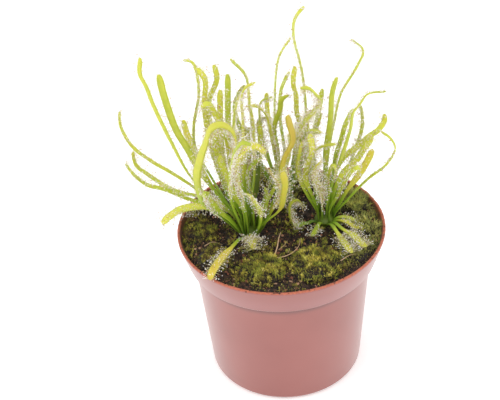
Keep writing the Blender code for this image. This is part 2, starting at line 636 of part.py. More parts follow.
def make_rosette(crown, leaves, clouds, look):
    """One grown piece: a stem in the mix, a low crown and every leaf of it."""
    radius = CROWN_RADIUS
    profile = (
        (0.0, GROUND - STEM_DEPTH),
        (STEM_RADIUS - 0.6, GROUND - STEM_DEPTH),
        (STEM_RADIUS, GROUND - STEM_DEPTH + 1.2),
        (STEM_RADIUS, GROUND + 0.6),
        (radius - 0.6, GROUND + 0.9),
        (radius, GROUND + 2.2),
        (radius - 1.0, GROUND + 3.7),
        (radius - 2.6, GROUND + 4.5),
        (0.0, GROUND + 4.8),
    )
    body = mesh_object("sundew_" + crown, *turned(profile, 14, CROWNS[crown]), look)
    parts = []
    for index, (leaf, own) in enumerate(leaves):
        others = [cloud for place, cloud in enumerate(clouds) if place != own]
        parts.append(mesh_object(f"leaf_{crown}_{index}", *leaf_shell(leaf, others), look))
    boolean(body, parts, "UNION", "MANIFOLD")
    dropped = keep_largest(body)
    body.data.set_sharp_from_angle(angle=math.radians(50))
    print(body.name, len(leaves), "leaves,", len(body.data.polygons), "faces,", dropped, "scraps dropped")
    return body


def build():
    clear_scene()
    make_pot(material("terracotta_plastic", (0.50, 0.24, 0.22), 0.5))
    make_growing_mix(material("peat", (0.035, 0.024, 0.016), 0.95))
    moss_look = material("moss", (0.16, 0.17, 0.03), 0.95)
    for name, x, y, radius, thickness in MOSS:
        make_moss(name, x, y, radius, thickness, moss_look)
    leaf_look = material("sundew_leaf", (0.36, 0.52, 0.06), 0.45)
    blades = [Blade(*leaf) for leaf in LEAVES]
    blades += grown_leaves(blades)
    clouds = [leaf.samples(4.0) for leaf in blades]
    for crown in CROWNS:
        own = [(leaf, index) for index, leaf in enumerate(blades) if leaf.crown == crown]
        make_rosette(crown, own, clouds, leaf_look)


build()
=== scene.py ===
# %% [markdown]
# # A potted sundew
# A 9 cm nursery pot, a plug of peat with moss on it, and three rosettes of strap leaves. Every leaf carries
# sticky hairs, each with a clear drop at its end. Most of the picture is made of things too small and too
# many to place by hand, so this lesson is mainly about rules: a rule for a leaf, one for a hair, one for a
# moss shoot.

# %% Load the frame
import math

import bmesh
import bpy
import numpy as np
from mathutils import Matrix, Vector


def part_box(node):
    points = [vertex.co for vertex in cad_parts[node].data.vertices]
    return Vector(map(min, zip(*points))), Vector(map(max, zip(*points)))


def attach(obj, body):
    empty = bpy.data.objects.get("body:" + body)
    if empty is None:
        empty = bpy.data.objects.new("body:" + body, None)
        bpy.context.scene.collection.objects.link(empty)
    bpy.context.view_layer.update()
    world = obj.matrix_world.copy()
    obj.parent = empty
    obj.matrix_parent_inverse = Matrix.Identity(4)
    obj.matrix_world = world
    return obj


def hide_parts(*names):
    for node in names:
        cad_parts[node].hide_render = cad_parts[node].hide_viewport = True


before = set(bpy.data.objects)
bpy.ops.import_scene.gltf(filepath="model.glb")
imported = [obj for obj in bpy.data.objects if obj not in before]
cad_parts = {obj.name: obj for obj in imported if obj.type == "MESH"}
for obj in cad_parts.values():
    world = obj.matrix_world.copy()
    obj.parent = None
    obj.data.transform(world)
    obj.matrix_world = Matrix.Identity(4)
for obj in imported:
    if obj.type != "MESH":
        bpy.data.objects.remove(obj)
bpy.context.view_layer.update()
MM = 0.001
for node in sorted(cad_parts):
    low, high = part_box(node)
    print(node, "is", [round((b - a) / MM, 1) for a, b in zip(low, high)], "mm")

# %% [markdown]
# ## The camera
# The picture was taken from a little above, so the soil shows inside the rim. A camera is placed by three
# facts: where it stands, what it looks at and how far it is rolled. The roll matters: a tilted rim gives it
# away at once.

# %% Camera
CAMERA_PLACE = Vector((0.0, -411.03, 386.39)) * MM
CAMERA_AIM = Vector((-12.628, 0.0, 85.64)) * MM
CAMERA_ROLL = -3.7152
CAMERA_LENS = 86.4

camera = bpy.data.objects.new("camera", bpy.data.cameras.new("camera"))
bpy.context.scene.collection.objects.link(camera)
camera.data.sensor_width = 36.0
camera.data.lens = CAMERA_LENS
camera.data.clip_start = 0.01
look = (CAMERA_AIM - CAMERA_PLACE).normalized()
right = look.cross(Vector((0, 0, 1))).normalized()
upright = Matrix((right, right.cross(look), -look)).transposed()
camera.matrix_world = Matrix.LocRotScale(
    CAMERA_PLACE, (upright @ Matrix.Rotation(math.radians(CAMERA_ROLL), 3, "Z")).to_quaternion(), None
)
bpy.context.scene.camera = camera
print("camera looks down by", round(math.degrees(math.asin(-look.z)), 1), "degrees")

# %% [markdown]
# ## Light and floor
# A white studio: light comes from all round, which is the world's own colour, and two large soft lamps give
# the forms a bright and a less bright side. A small lamp would draw hard shadows. A large one near by hardly
# does.

# %% Light and floor
WORLD_LIGHT = 1.06
scene = bpy.context.scene
scene.view_settings.view_transform = "Standard"
world = bpy.data.worlds.new("studio")
world.use_nodes = True
world.node_tree.nodes["Background"].inputs["Color"].default_value = (1.0, 1.0, 1.0, 1.0)
world.node_tree.nodes["Background"].inputs["Strength"].default_value = WORLD_LIGHT
scene.world = world


def soft_lamp(name, place, size, watts):
    """A square lamp that faces the middle of the plant."""
    lamp = bpy.data.lights.new(name, "AREA")
    lamp.size = size
    lamp.energy = watts
    item = bpy.data.objects.new(name, lamp)
    item.location = place
    item.rotation_euler = (Vector((0, 0, 0.08)) - Vector(place)).to_track_quat("-Z", "Y").to_euler()
    scene.collection.objects.link(item)


soft_lamp("lamp_left", (-0.9, -0.5, 1.1), 0.8, 4.0)
soft_lamp("lamp_right", (1.0, -0.3, 0.8), 0.8, 2.0)

# %% [markdown]
# ## Writing node trees as sums
# Materials and Geometry Nodes are both trees of nodes. Placing nodes one by one hides the thought behind
# them, so a wire here can be added to, multiplied and compared like a number, and each sum adds its own Math
# node. One method adds any other node: its kind, its settings, then the values or wires of its sockets.

# %% Wires and trees


class Wire:
    """An output socket. A sum on it adds a Math node and gives that node's output."""

    def __init__(self, tree, socket):
        self.tree = tree
        self.socket = socket

    def math(self, operation, *values):
        return self.tree.node("ShaderNodeMath", {"operation": operation}, dict(enumerate(values)))[0]

    def __add__(self, other):
        return self.math("ADD", self, other)

    def __radd__(self, other):
        return self.math("ADD", other, self)

    def __sub__(self, other):
        return self.math("SUBTRACT", self, other)

    def __rsub__(self, other):
        return self.math("SUBTRACT", other, self)

    def __mul__(self, other):
        return self.math("MULTIPLY", self, other)

    def __rmul__(self, other):
        return self.math("MULTIPLY", other, self)

    def __truediv__(self, other):
        return self.math("DIVIDE", self, other)

    def __pow__(self, other):
        return self.math("POWER", self, other)

    def __gt__(self, other):
        return self.math("GREATER_THAN", self, other)


class Added:
    """A node that was added: its outputs are read by name or by number."""

    def __init__(self, tree, made):
        self.tree = tree
        self.made = made

    def __getitem__(self, key):
        return Wire(self.tree, socket_of(self.made.outputs, key))


def socket_of(sockets, key):
    """A node's socket by number, or by name among those that its settings leave in use."""
    if isinstance(key, int):
        return sockets[key]
    named = [socket for socket in sockets if socket.name == key]
    return next((socket for socket in named if socket.enabled), named[0])


class Tree:
    """A node tree of a material or of Geometry Nodes."""

    def __init__(self, tree):
        self.tree = tree

    def node(self, kind, settings=None, values=None):
        made = self.tree.nodes.new(kind)
        for name, setting in (settings or {}).items():
            if name == "stops":
                set_stops(made.color_ramp, setting)
            else:
                setattr(made, name, setting)
        for key, value in (values or {}).items():
            self.feed(socket_of(made.inputs, key), value)
        return Added(self, made)

    def feed(self, socket, value):
        if isinstance(value, list):
            for wire in value:
                self.tree.links.new(wire.socket, socket)
        elif isinstance(value, Wire):
            self.tree.links.new(value.socket, socket)
        elif socket.type == "RGBA":
            socket.default_value = (*value, 1.0)
        else:
            socket.default_value = value

    def mix(self, share, one, two):
        """A colour between two colours."""
        return self.node("ShaderNodeMix", {"data_type": "RGBA"}, {0: share, 6: one, 7: two})[2]

    def ease(self, low, high, value):
        """0 below low, 1 above high, smooth between."""
        settings = {"interpolation_type": "SMOOTHSTEP"}
        return self.node("ShaderNodeMapRange", settings, {"Value": value, "From Min": low, "From Max": high})[0]

    def ramp(self, stops, share):
        """The colour that a ramp of (position, colour) stops has at a share of its way."""
        return self.node("ShaderNodeValToRGB", {"stops": stops}, {0: share})[0]

    def noise(self, place, scale, detail=2.0):
        """A soft random pattern, 0 to 1, with this many spots to a metre."""
        return self.node("ShaderNodeTexNoise", None, {"Vector": place, "Scale": scale, "Detail": detail})[0]

    def vector(self, operation, one, two=None, scale=None):
        given = {0: one, 1: two, "Scale": scale}
        values = {key: value for key, value in given.items() if value is not None}
        return self.node("ShaderNodeVectorMath", {"operation": operation}, values)[0]

    def part(self, axis, vector):
        """One of a vector's parts: X, Y or Z."""
        return self.node("ShaderNodeSeparateXYZ", None, {0: vector})[axis]

    def off_axis(self, place):
        """How far a place lies from the pot's axis."""
        level = self.vector("MULTIPLY", place, (1, 1, 0))
        return self.node("ShaderNodeVectorMath", {"operation": "LENGTH"}, {0: level})["Value"]


def set_stops(ramp, stops):
    """The colours of a ramp, as (position, colour) pairs in linear light."""
    while len(ramp.elements) < len(stops):
        ramp.elements.new(1.0)
    for element, (position, colour) in zip(ramp.elements, stops):
        element.position = position
        element.color = (*colour, 1.0)


def paint(red, green, blue):
    """A colour as seen on a screen, 0 to 255, turned into the linear light that a shader takes."""
    return tuple(((part / 255 + 0.055) / 1.055) ** 2.4 for part in (red, green, blue))


print("mid grey as linear light:", [round(part, 3) for part in paint(128, 128, 128)])

# %% [markdown]
# ## Materials
# A finish is what the surface does to light, so each material starts from the same shader and differs in its
# colour, its roughness and its fine relief. Patterns read the object's own coordinates in metres, so that
# grain has its true size, and stay put whichever way the piece is seen.

# %% Material helpers


class Finish(Tree):
    """A material: its shader, the place on the piece, and helpers for grain and relief."""

    def __init__(self, name, **constants):
        self.look = bpy.data.materials.new(name)
        self.look.use_nodes = True
        super().__init__(self.look.node_tree)
        self.shader = self.tree.nodes["Principled BSDF"]
        self.place = self.node("ShaderNodeTexCoord")["Object"]
        for key, value in constants.items():
            self.feed(self.shader.inputs[key.replace("_", " ")], value)

    def grain(self, per_mm, detail=2.0):
        """A soft random pattern, 0 to 1, with this many spots to a millimetre."""
        return self.noise(self.place, per_mm / MM, detail)

    def kept(self, name):
        """A value that the mesh carries at each point."""
        return self.node("ShaderNodeAttribute", {"attribute_name": name})["Fac"]

    def place_mm(self, axis):
        return self.part(axis, self.place) / MM

    def finish(self, colour, roughness, relief=None, depth=0.1):
        """Wires colour, roughness and relief, the last in millimetres, to the shader."""
        self.feed(self.shader.inputs["Base Color"], colour)
        self.feed(self.shader.inputs["Roughness"], roughness)
        if relief is not None:
            bump = self.node("ShaderNodeBump", None, {"Height": relief, "Distance": depth * MM, "Strength": 1.0})
            self.feed(self.shader.inputs["Normal"], bump["Normal"])
        return self.look


floor_look = Finish("studio_floor", Emission_Color=(1.0, 1.0, 1.0), Emission_Strength=0.28)
floor_look = floor_look.finish((0.93, 0.93, 0.93), 0.9 + 0.05 * floor_look.grain(0.02))
print("materials so far:", [item.name for item in bpy.data.materials])

# %% Floor
FLOOR_HALF = 3.0
floor_mesh = bpy.data.meshes.new("floor")
corners = [(-FLOOR_HALF, -FLOOR_HALF), (FLOOR_HALF, -FLOOR_HALF), (FLOOR_HALF, FLOOR_HALF), (-FLOOR_HALF, FLOOR_HALF)]
floor_mesh.from_pydata([(x, y, -0.0001) for x, y in corners], [], [(0, 1, 2, 3)])
floor = bpy.data.objects.new("floor", floor_mesh)
floor.data.materials.append(floor_look)
scene.collection.objects.link(floor)
print("floor is", 2 * FLOOR_HALF, "m wide")

# %% [markdown]
# ## Geometry Nodes from a script
# A Geometry Nodes tree is a rule with named sizes. It is built here once, put on an object with the sizes
# for that object, and its result is kept as a plain mesh, because what is handed on has to be real faces.

# %% Geometry Nodes helpers


class Rule(Tree):
    """A Geometry Nodes tree with named inputs."""

    def __init__(self, name, **sizes):
        super().__init__(bpy.data.node_groups.new(name, "GeometryNodeTree"))
        face = self.tree.interface
        face.new_socket("Geometry", in_out="INPUT", socket_type="NodeSocketGeometry")
        face.new_socket("Geometry", in_out="OUTPUT", socket_type="NodeSocketGeometry")
        for key, value in sizes.items():
            kind = {int: "Int", float: "Float"}.get(type(value), "Material")
            socket = face.new_socket(key, in_out="INPUT", socket_type="NodeSocket" + kind)
            if kind != "Material":
                socket.default_value = value
        self.given = self.node("NodeGroupInput")
        self.end = self.tree.nodes.new("NodeGroupOutput")

    def __getitem__(self, key):
        return self.given[key]

    def step(self, kind, shape, **values):
        """A step that changes a shape and gives it on."""
        return self.node("GeometryNode" + kind, None, {"Geometry": shape, **values})[0]

    def closes_with(self, shape, look):
        """The tree's last steps: real faces and their material."""
        real = self.step("RealizeInstances", shape)
        self.feed(self.end.inputs[0], self.step("SetMaterial", real, Material=look))

    def here(self):
        return self.node("GeometryNodeInputPosition")[0]

    def facing_up(self):
        return self.part("Z", self.node("GeometryNodeInputNormal")[0])

    def scattered(self, shape, density, **values):
        """Random points over a surface, by their number to a square metre."""
        values = {"Mesh": shape, "Density": density, "Seed": self["Seed"], **values}
        return self.node("GeometryNodeDistributePointsOnFaces", {"distribute_method": "RANDOM"}, values)

    def spike(self, radius, tall):
        """A thin cone of four faces."""
        values = {"Vertices": 3, "Side Segments": 1, "Radius Top": 0.0, "Radius Bottom": radius, "Depth": tall}
        return self.node("GeometryNodeMeshCone", {"fill_type": "NGON"}, values)["Mesh"]

    def turned_by(self, angles):
        return self.node("FunctionNodeEulerToRotation", None, {0: angles})[0]

    def aimed(self, way):
        return self.node("FunctionNodeAlignRotationToVector", {"axis": "Z"}, {"Vector": way})[0]

    def xyz(self, x=0.0, y=0.0, z=0.0):
        return self.node("ShaderNodeCombineXYZ", None, {0: x, 1: y, 2: z})[0]

    def draw(self, low, high, seed=0):
        """A random number for each point, or a random vector where low and high are vectors."""
        kind = "FLOAT_VECTOR" if isinstance(low, tuple) else "FLOAT"
        node = self.node("FunctionNodeRandomValue", {"data_type": kind}, {"Seed": seed})
        self.feed(socket_of(node.made.inputs, "Min"), low)
        self.feed(socket_of(node.made.inputs, "Max"), high)
        return node["Value"]

    def carried(self, name, kind="FLOAT"):
        """A value that the mesh carries."""
        return self.node("GeometryNodeInputNamedAttribute", {"data_type": kind}, {"Name": name})["Attribute"]

    def store(self, shape, name, value, domain="POINT"):
        settings = {"data_type": "FLOAT", "domain": domain}
        values = {"Geometry": shape, "Name": name, "Value": value}
        return self.node("GeometryNodeStoreNamedAttribute", settings, values)[0]

    def smooth(self, shape):
        return self.step("SetShadeSmooth", shape)

    def join(self, *shapes):
        return self.step("JoinGeometry", list(shapes))

    def place_on(self, points, shape, turn, scale):
        values = {"Points": points, "Instance": shape, "Rotation": turn, "Scale": scale}
        return self.node("GeometryNodeInstanceOnPoints", None, values)[0]

    def made_from(self, item, name, **sizes):
        """What the rule makes from an object, as a new plain object."""
        step = item.modifiers.new(name, "NODES")
        step.node_group = self.tree
        for socket in self.tree.interface.items_tree:
            if socket.in_out == "INPUT" and socket.name in sizes:
                step[socket.identifier] = sizes[socket.name]
        graph = bpy.context.evaluated_depsgraph_get()
        solid = item.evaluated_get(graph)
        mesh = bpy.data.meshes.new_from_object(solid, preserve_all_data_layers=True, depsgraph=graph)
        item.modifiers.remove(step)
        made = bpy.data.objects.new(name, mesh)
        scene.collection.objects.link(made)
        return made


def triangles(item):
    return sum(len(face.vertices) - 2 for face in item.data.polygons)


def remove(item):
    bpy.data.objects.remove(item, do_unlink=True)


def hand_on(item, slot, *nodes):
    """Puts a piece on the plant's one body and hides the solid pieces that it replaces; the slot is not used."""
    if nodes:
        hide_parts(*nodes)
    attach(item, "root")
    print(item.name, triangles(item), "triangles")


print("Geometry Nodes helpers ready")

# %% Mesh helpers


def mesh_object(name, points, faces, look=None, outward=True):
    """An object from points in millimetres, smooth, with every face turned outward."""
    mesh = bpy.data.meshes.new(name)
    mesh.from_pydata((np.asarray(points, float) * MM).tolist(), [], faces)
    if outward:
        face_outward(mesh)
    mesh.shade_smooth()
    if look:
        mesh.materials.append(look)
    made = bpy.data.objects.new(name, mesh)
    scene.collection.objects.link(made)
    return made


def face_outward(mesh, merge=0.0):
    """Joins doubled points where asked, and turns every face outward."""
    shell = bmesh.new()
    shell.from_mesh(mesh)
    if merge:
        bmesh.ops.remove_doubles(shell, verts=shell.verts, dist=merge)
    bmesh.ops.recalc_face_normals(shell, faces=shell.faces)
    shell.to_mesh(mesh)
    shell.free()


def skin(first, rings, last):
    """Points and faces of a closed shape over rings of points, from one end point to the other."""
    sides = len(rings[0])
    points = np.vstack([np.reshape(first, (1, 3)), np.reshape(rings, (-1, 3)), np.reshape(last, (1, 3))])
    end = len(points) - 1
    top = end - sides
    faces = []
    for step in range(sides):
        after = (step + 1) % sides
        faces.append((0, 1 + after, 1 + step))
        faces.append((top + step, top + after, end))
        for low in range(1, top, sides):
            faces.append((low + step, low + after, low + sides + after, low + sides + step))
    return points, faces


def gathered(shapes):
    """Points and faces of several shapes as those of one."""
    starts = np.cumsum([0] + [len(shape[0]) for shape in shapes])
    faces = []
    for start, shape in zip(starts.tolist(), shapes):
        faces += [tuple(start + corner for corner in face) for face in shape[1]]
    return np.vstack([shape[0] for shape in shapes]), faces


def circle(radius, height, sides, centre=(0.0, 0.0)):
    """Points round a level circle."""
    angles = np.arange(sides) * 2 * math.pi / sides
    x = centre[0] + radius * np.cos(angles)
    y = centre[1] + radius * np.sin(angles)
    return np.stack([x, y, np.full(sides, float(height))], axis=1)


def turned(profile, sides, centre=(0.0, 0.0)):
    """A profile of (radius, height) turned about a vertical axis; both ends lie on that axis."""
    rings = [circle(radius, height, sides, centre) for radius, height in profile[1:-1]]
    return skin((*centre, profile[0][1]), rings, (*centre, profile[-1][1]))


def cut(item, tools):
    """Cuts the tools from an object and removes them."""
    holder = bpy.data.collections.new(item.name + "_tools")
    for tool in tools:
        holder.objects.link(tool)
    step = item.modifiers.new("cut", "BOOLEAN")
    step.operation = "DIFFERENCE"
    step.operand_type = "COLLECTION"
    step.collection = holder
    step.solver = "EXACT"
    bpy.context.view_layer.update()
    mesh = bpy.data.meshes.new_from_object(item.evaluated_get(bpy.context.evaluated_depsgraph_get()))
    item.modifiers.clear()
    item.data = mesh
    for tool in tools:
        remove(tool)
    bpy.data.collections.remove(holder)


print("mesh helpers ready")

# %% [markdown]
# ## The pot
# A nursery pot is one thin moulded wall: a tapered body, and a wider band below the rim that stiffens it. A
# shape like this is a profile turned round an axis, so a rule does it: a grid of points is rolled up, each
# column taking its radius and height from the profile. The lip is left ragged by the mould, which is the
# only part of the pot that isn't true.

# %% Pot sizes
RIM_RADIUS = 45.0
POT_HEIGHT = 71.2
BAND_HEIGHT = 13.8
BAND_FOOT = POT_HEIGHT - BAND_HEIGHT
BAND_FOOT_RADIUS = 41.0
SHELF = 1.2
BODY_TOP_RADIUS = 38.6
BASE_RADIUS = 33.9
WALL = 1.2
FLOOR_TOP = 2.4
RECESS_INNER = 21.0
RECESS_OUTER = 31.0
RECESS_DEPTH = 1.1
DRAIN_RADIUS = 3.0
DRAIN_CIRCLE = 26.0
DRAIN_COUNT = 8
CORNER = 0.45


def band_radius(height):
    """The outer radius of the band at a height."""
    return BAND_FOOT_RADIUS + (RIM_RADIUS - BAND_FOOT_RADIUS) * (height - BAND_FOOT) / BAND_HEIGHT


def inner_radius(height):
    """The radius of the pot's inside at a height."""
    if height >= BAND_FOOT + SHELF:
        return band_radius(height) - WALL
    return BASE_RADIUS + (BODY_TOP_RADIUS - BASE_RADIUS) * height / BAND_FOOT - WALL


def rounded(profile, corner, steps=3):
    """The profile with each corner turned into a short curve."""
    points = [np.array(point, float) for point in profile]
    run = [points[0]]
    for before, here, after in zip(points, points[1:], points[2:]):
        back = min(corner, 0.35 * np.linalg.norm(before - here)) * (before - here) / np.linalg.norm(before - here)
        on = min(corner, 0.35 * np.linalg.norm(after - here)) * (after - here) / np.linalg.norm(after - here)
        for step in range(steps + 1):
            share = step / steps
            run.append(here + back * (1 - share) ** 2 + on * share**2)
    return run + [points[-1]]


shelf = BAND_FOOT + SHELF
POT_PROFILE = (
    (0.0, 0.0),
    (RECESS_INNER - 0.8, 0.0),
    (RECESS_INNER, RECESS_DEPTH),
    (RECESS_OUTER, RECESS_DEPTH),
    (RECESS_OUTER + 0.8, 0.0),
    (BASE_RADIUS - 1.3, 0.0),
    (BASE_RADIUS, 1.6),
    (BODY_TOP_RADIUS, BAND_FOOT - 0.4),
    (BODY_TOP_RADIUS + 0.5, BAND_FOOT),
    (BAND_FOOT_RADIUS - 0.6, BAND_FOOT),
    (BAND_FOOT_RADIUS + 0.1, BAND_FOOT + 0.7),
    (RIM_RADIUS - 0.15, POT_HEIGHT - 1.2),
    (RIM_RADIUS - 0.1, POT_HEIGHT - 0.1),
    (RIM_RADIUS - WALL + 0.1, POT_HEIGHT - 0.1),
    (band_radius(POT_HEIGHT - 2.0) - WALL, POT_HEIGHT - 2.0),
    (band_radius(shelf) - WALL, shelf),
    (inner_radius(shelf - 0.6), shelf - 0.6),
    (inner_radius(FLOOR_TOP + 0.8), FLOOR_TOP + 0.8),
    (BASE_RADIUS - 2.2, FLOOR_TOP),
    (0.0, FLOOR_TOP),
)
profile_run = rounded(POT_PROFILE, CORNER)
print("pot profile has", len(profile_run), "points")

# %% Pot rule
LIP_FOOT = POT_HEIGHT - 0.9
LIP_TOP = POT_HEIGHT - 0.2
pot_rule = Rule("turned_pot", Sides=240, Ragged=0.3, Look=None)
profile = pot_rule["Geometry"]
count = pot_rule.node("GeometryNodeAttributeDomainSize", None, {"Geometry": profile})["Point Count"]
sizes = {"Size X": 1.0, "Size Y": 1.0, "Vertices X": count, "Vertices Y": pot_rule["Sides"] + 1}
grid = pot_rule.node("GeometryNodeMeshGrid", None, sizes)["Mesh"]
column = count.math("ROUND", (pot_rule.part("X", pot_rule.here()) + 0.5) * (count - 1))
taken = {"Geometry": profile, "Value": pot_rule.here(), "Index": column}
row = pot_rule.node("GeometryNodeSampleIndex", {"data_type": "FLOAT_VECTOR"}, taken)["Value"]
radius, height = pot_rule.part("X", row), pot_rule.part("Z", row)
angle = (pot_rule.part("Y", pot_rule.here()) + 0.5) * (2 * math.pi)
sideways = angle.math("COSINE", angle)
onward = angle.math("SINE", angle)
raggedness = pot_rule.noise(pot_rule.xyz(sideways * 40.0, onward * 40.0, radius * 900.0), 1.0, 3.0) - 0.5
lift = raggedness * pot_rule.ease(LIP_FOOT * MM, LIP_TOP * MM, height) * pot_rule["Ragged"] * (2 * MM)
radius = radius + 0.8 * lift
rolled = pot_rule.xyz(radius * sideways, radius * onward, height + lift)
closed = pot_rule.step("MergeByDistance", pot_rule.step("SetPosition", grid, Position=rolled), Distance=1e-6)
pot_rule.closes_with(pot_rule.smooth(closed), pot_rule["Look"])
print("the pot's rule has", len(pot_rule.tree.nodes), "nodes")

# %% [markdown]
# The real pot is mauve terracotta plastic with a soft sheen: the white room shows in it at its sides, where
# it turns away from the viewer. That is what a clear coat does, so the finish has one. The ragged lip is
# brick orange, because there the fresh material shows without its skin, and a little soil clings to it.

# %% Pot finish
clay = Finish("terracotta_plastic", Coat_Roughness=0.28, Coat_IOR=1.65, Sheen_Weight=0.07, Sheen_Roughness=0.3)
cloud = clay.grain(0.035, 2.0)
fine = clay.grain(4.0, 2.0)
chip = clay.grain(1.1, 3.0)
soiled = clay.grain(0.8, 4.0)
high = clay.place_mm("Z")
body_colour = clay.mix(cloud, paint(132, 50, 38), paint(155, 77, 66))
mauve = clay.ease(BAND_FOOT - 0.4, BAND_FOOT + 1.0, high) * clay.ease(POT_HEIGHT - 2.0, BAND_FOOT + 2.0, high)
body_colour = clay.mix(mauve * 0.45, body_colour, paint(150, 84, 84))
# Painted shade: a dark line across the band's foot and the body just under it, where the band overhangs the body.
painted_crease_shade = clay.ease(BAND_FOOT - 4.4, BAND_FOOT - 1.8, high) * clay.ease(BAND_FOOT + 0.9, BAND_FOOT + 0.3, high)
body_colour = clay.mix(painted_crease_shade * 0.6, body_colour, paint(84, 32, 30))
outer = BAND_FOOT_RADIUS - 0.6 * WALL + (RIM_RADIUS - BAND_FOOT_RADIUS) / BAND_HEIGHT * (high - BAND_FOOT)
# Painted shade: the inside face of the wall above the band's foot is mixed towards dark brown.
painted_inner_wall_shade = clay.ease(0.0, 0.4, outer - clay.off_axis(clay.place) / MM) * clay.ease(BAND_FOOT + 1.0, BAND_FOOT + 1.2, high)
lip = clay.ease(POT_HEIGHT - 1.0, POT_HEIGHT - 0.4, high + (chip - 0.5) * 1.6)
brick = clay.mix(chip, paint(140, 66, 48), paint(212, 126, 98))
brick = clay.mix(clay.ease(0.58, 0.66, soiled), brick, paint(66, 44, 36))
body_colour = clay.mix(painted_inner_wall_shade * 0.8, body_colour, paint(88, 56, 44))
clay_look = clay.finish(
    clay.mix(lip, body_colour, brick), 0.5 + 0.1 * fine + 0.3 * lip, fine + lip * chip * 6.0, 0.01
)
clay.feed(clay.shader.inputs["Coat Weight"], 1 - lip)

guide = mesh_object("pot_profile", [(r, 0.0, z) for r, z in profile_run], [], outward=False)
pot = pot_rule.made_from(guide, "nursery_pot", Look=clay_look)
remove(guide)
face_outward(pot.data)
drains = []
for hole in range(DRAIN_COUNT):
    turn = 2 * math.pi * (hole + 0.5) / DRAIN_COUNT
    centre = (DRAIN_CIRCLE * math.cos(turn), DRAIN_CIRCLE * math.sin(turn))
    rod = ((0.0, -2.0), (DRAIN_RADIUS, -2.0), (DRAIN_RADIUS, 5.0), (0.0, 5.0))
    drains.append(mesh_object(f"drain_{hole}", *turned(rod, 24, centre)))
cut(pot, drains)
pot.data.set_sharp_from_angle(angle=math.radians(40))
hand_on(pot, "terracotta_plastic", "pot")

# %% [markdown]
# ## The growing mix
# Peat fills the pot to just below the rim. Its top is uneven, so one function gives the ground's height
# anywhere, and everything that lies on the soil asks it. The crumbs come from noise at two sizes.

# %% Ground
GAP = 0.3
GROUND = 68.2
CROWNS = {"left": (-13.5, -2.0), "right": (19.0, 5.0), "rear": (2.0, 21.0)}
STEM_RADIUS = 3.0
STEM_DEPTH = 9.0
GROUND_SIDES = 260
GROUND_STEP = 0.6
SOIL_LEVEL = 0.066


def ease(low, high, value):
    """0 below low, 1 above high, smooth between."""
    share = np.clip((value - low) / (high - low), 0.0, 1.0)
    return share * share * (3 - 2 * share)


def ground_height(x, y):
    """The top of the growing mix: uneven, higher to the left and rear, level round each crown."""
    height = GROUND + 0.7 * ease(-10, 38, y) + 0.7 * ease(5, 40, -x)
    height = height + 0.42 * np.sin(0.31 * x + 1.3) * np.sin(0.27 * y + 0.4)
    height = height + 0.18 * np.sin(0.53 * x - 0.7 + 0.4 * np.sin(0.2 * y)) * np.cos(0.47 * y + 1.1)
    for crown_x, crown_y in CROWNS.values():
        away = np.hypot(x - crown_x, y - crown_y)
        height = height + (GROUND - 0.2 - height) * (1 - ease(7, 14, away))
    return height


def ground_ring(reach):
    ring = circle(reach, 0.0, GROUND_SIDES)
    ring[:, 2] = ground_height(ring[:, 0], ring[:, 1])
    return ring


mix_floor = FLOOR_TOP + GAP
reaches = np.arange(GROUND_STEP, 39.0, GROUND_STEP)
mix_rings = [ground_ring(reach) for reach in reaches]
outermost = inner_radius(GROUND) - GAP
for reach in (40.0, 41.0, 42.0, outermost - 0.5):
    ring = ground_ring(reach)
    ring[:, 2] += (GROUND - 0.2 - ring[:, 2]) * ease(39.0, outermost, reach)
    mix_rings.append(ring)
MIX_SIDE = (
    (outermost, GROUND - 0.6),
    (inner_radius(shelf + GAP) - 1.4 * GAP, shelf + GAP),
    (inner_radius(BAND_FOOT) - 1.4 * GAP, shelf + GAP - 0.1),
    (inner_radius(mix_floor + 0.9) - 1.4 * GAP, mix_floor + 0.9),
    (BASE_RADIUS - 2.8, mix_floor),
)
mix_rings += [circle(radius, height, GROUND_SIDES) for radius, height in MIX_SIDE]
middle = (0.0, 0.0, float(ground_height(0.0, 0.0)))
plug = mesh_object("mix_plug", *skin(middle, mix_rings, (0.0, 0.0, mix_floor)))
stems = []
for crown, centre in CROWNS.items():
    low = GROUND - STEM_DEPTH - 2 * GAP
    rod = ((0.0, low), (STEM_RADIUS + GAP, low), (STEM_RADIUS + GAP, GROUND + 6), (0.0, GROUND + 6))
    stems.append(mesh_object("hole_" + crown, *turned(rod, 24, centre)))
cut(plug, stems)
print("growing mix:", triangles(plug), "triangles, ground from", round(mix_rings[5][:, 2].min(), 1), "mm")

# %% Ground rule
ground_rule = Rule("crumbly_ground", Clods=1.5, Crumbs=0.8, Look=None)
here = ground_rule.here()
top = ground_rule.ease(0.0668, 0.0676, ground_rule.part("Z", here))
top = top * (1 - ground_rule.ease(0.0422, 0.0433, ground_rule.off_axis(here)))
clods = ground_rule.noise(here, 260.0, 3.0) - 0.5
cells = ground_rule.node("ShaderNodeTexVoronoi", None, {"Vector": here, "Scale": 700.0})["Distance"]
rise = (clods * ground_rule["Clods"] * 2.0 + (0.45 - cells) * ground_rule["Crumbs"]) * top * MM
raised = ground_rule.step("SetPosition", ground_rule["Geometry"], Offset=ground_rule.xyz(0.0, 0.0, rise))
ground_rule.closes_with(ground_rule.smooth(raised), ground_rule["Look"])

peat = Finish("peat")
lumps = peat.grain(0.5, 4.0)
specks = peat.grain(1.9, 3.0)
damp = peat.grain(0.12, 2.0)
earth = peat.mix(peat.ease(0.35, 0.75, lumps), paint(20, 16, 15), paint(82, 60, 46))
earth = peat.mix(peat.ease(0.62, 0.7, specks), earth, paint(132, 82, 60))
earth = peat.mix(peat.ease(0.64, 0.72, lumps) * 0.5, earth, paint(98, 88, 44))
peat_look = peat.finish(earth, 0.95 - 0.35 * peat.ease(0.5, 0.65, damp), lumps + specks * 0.6, 0.5)
mix = ground_rule.made_from(plug, "growing_mix_crumbly", Look=peat_look)
remove(plug)
hand_on(mix, "peat", "growing_mix")

# %% [markdown]
# Loose crumbs of peat and bark lie on the soil. Each is the same little stone of 20 faces, but it is
# stretched and turned by its own random draw, so no two look alike. This is the cheapest way to fill ground.

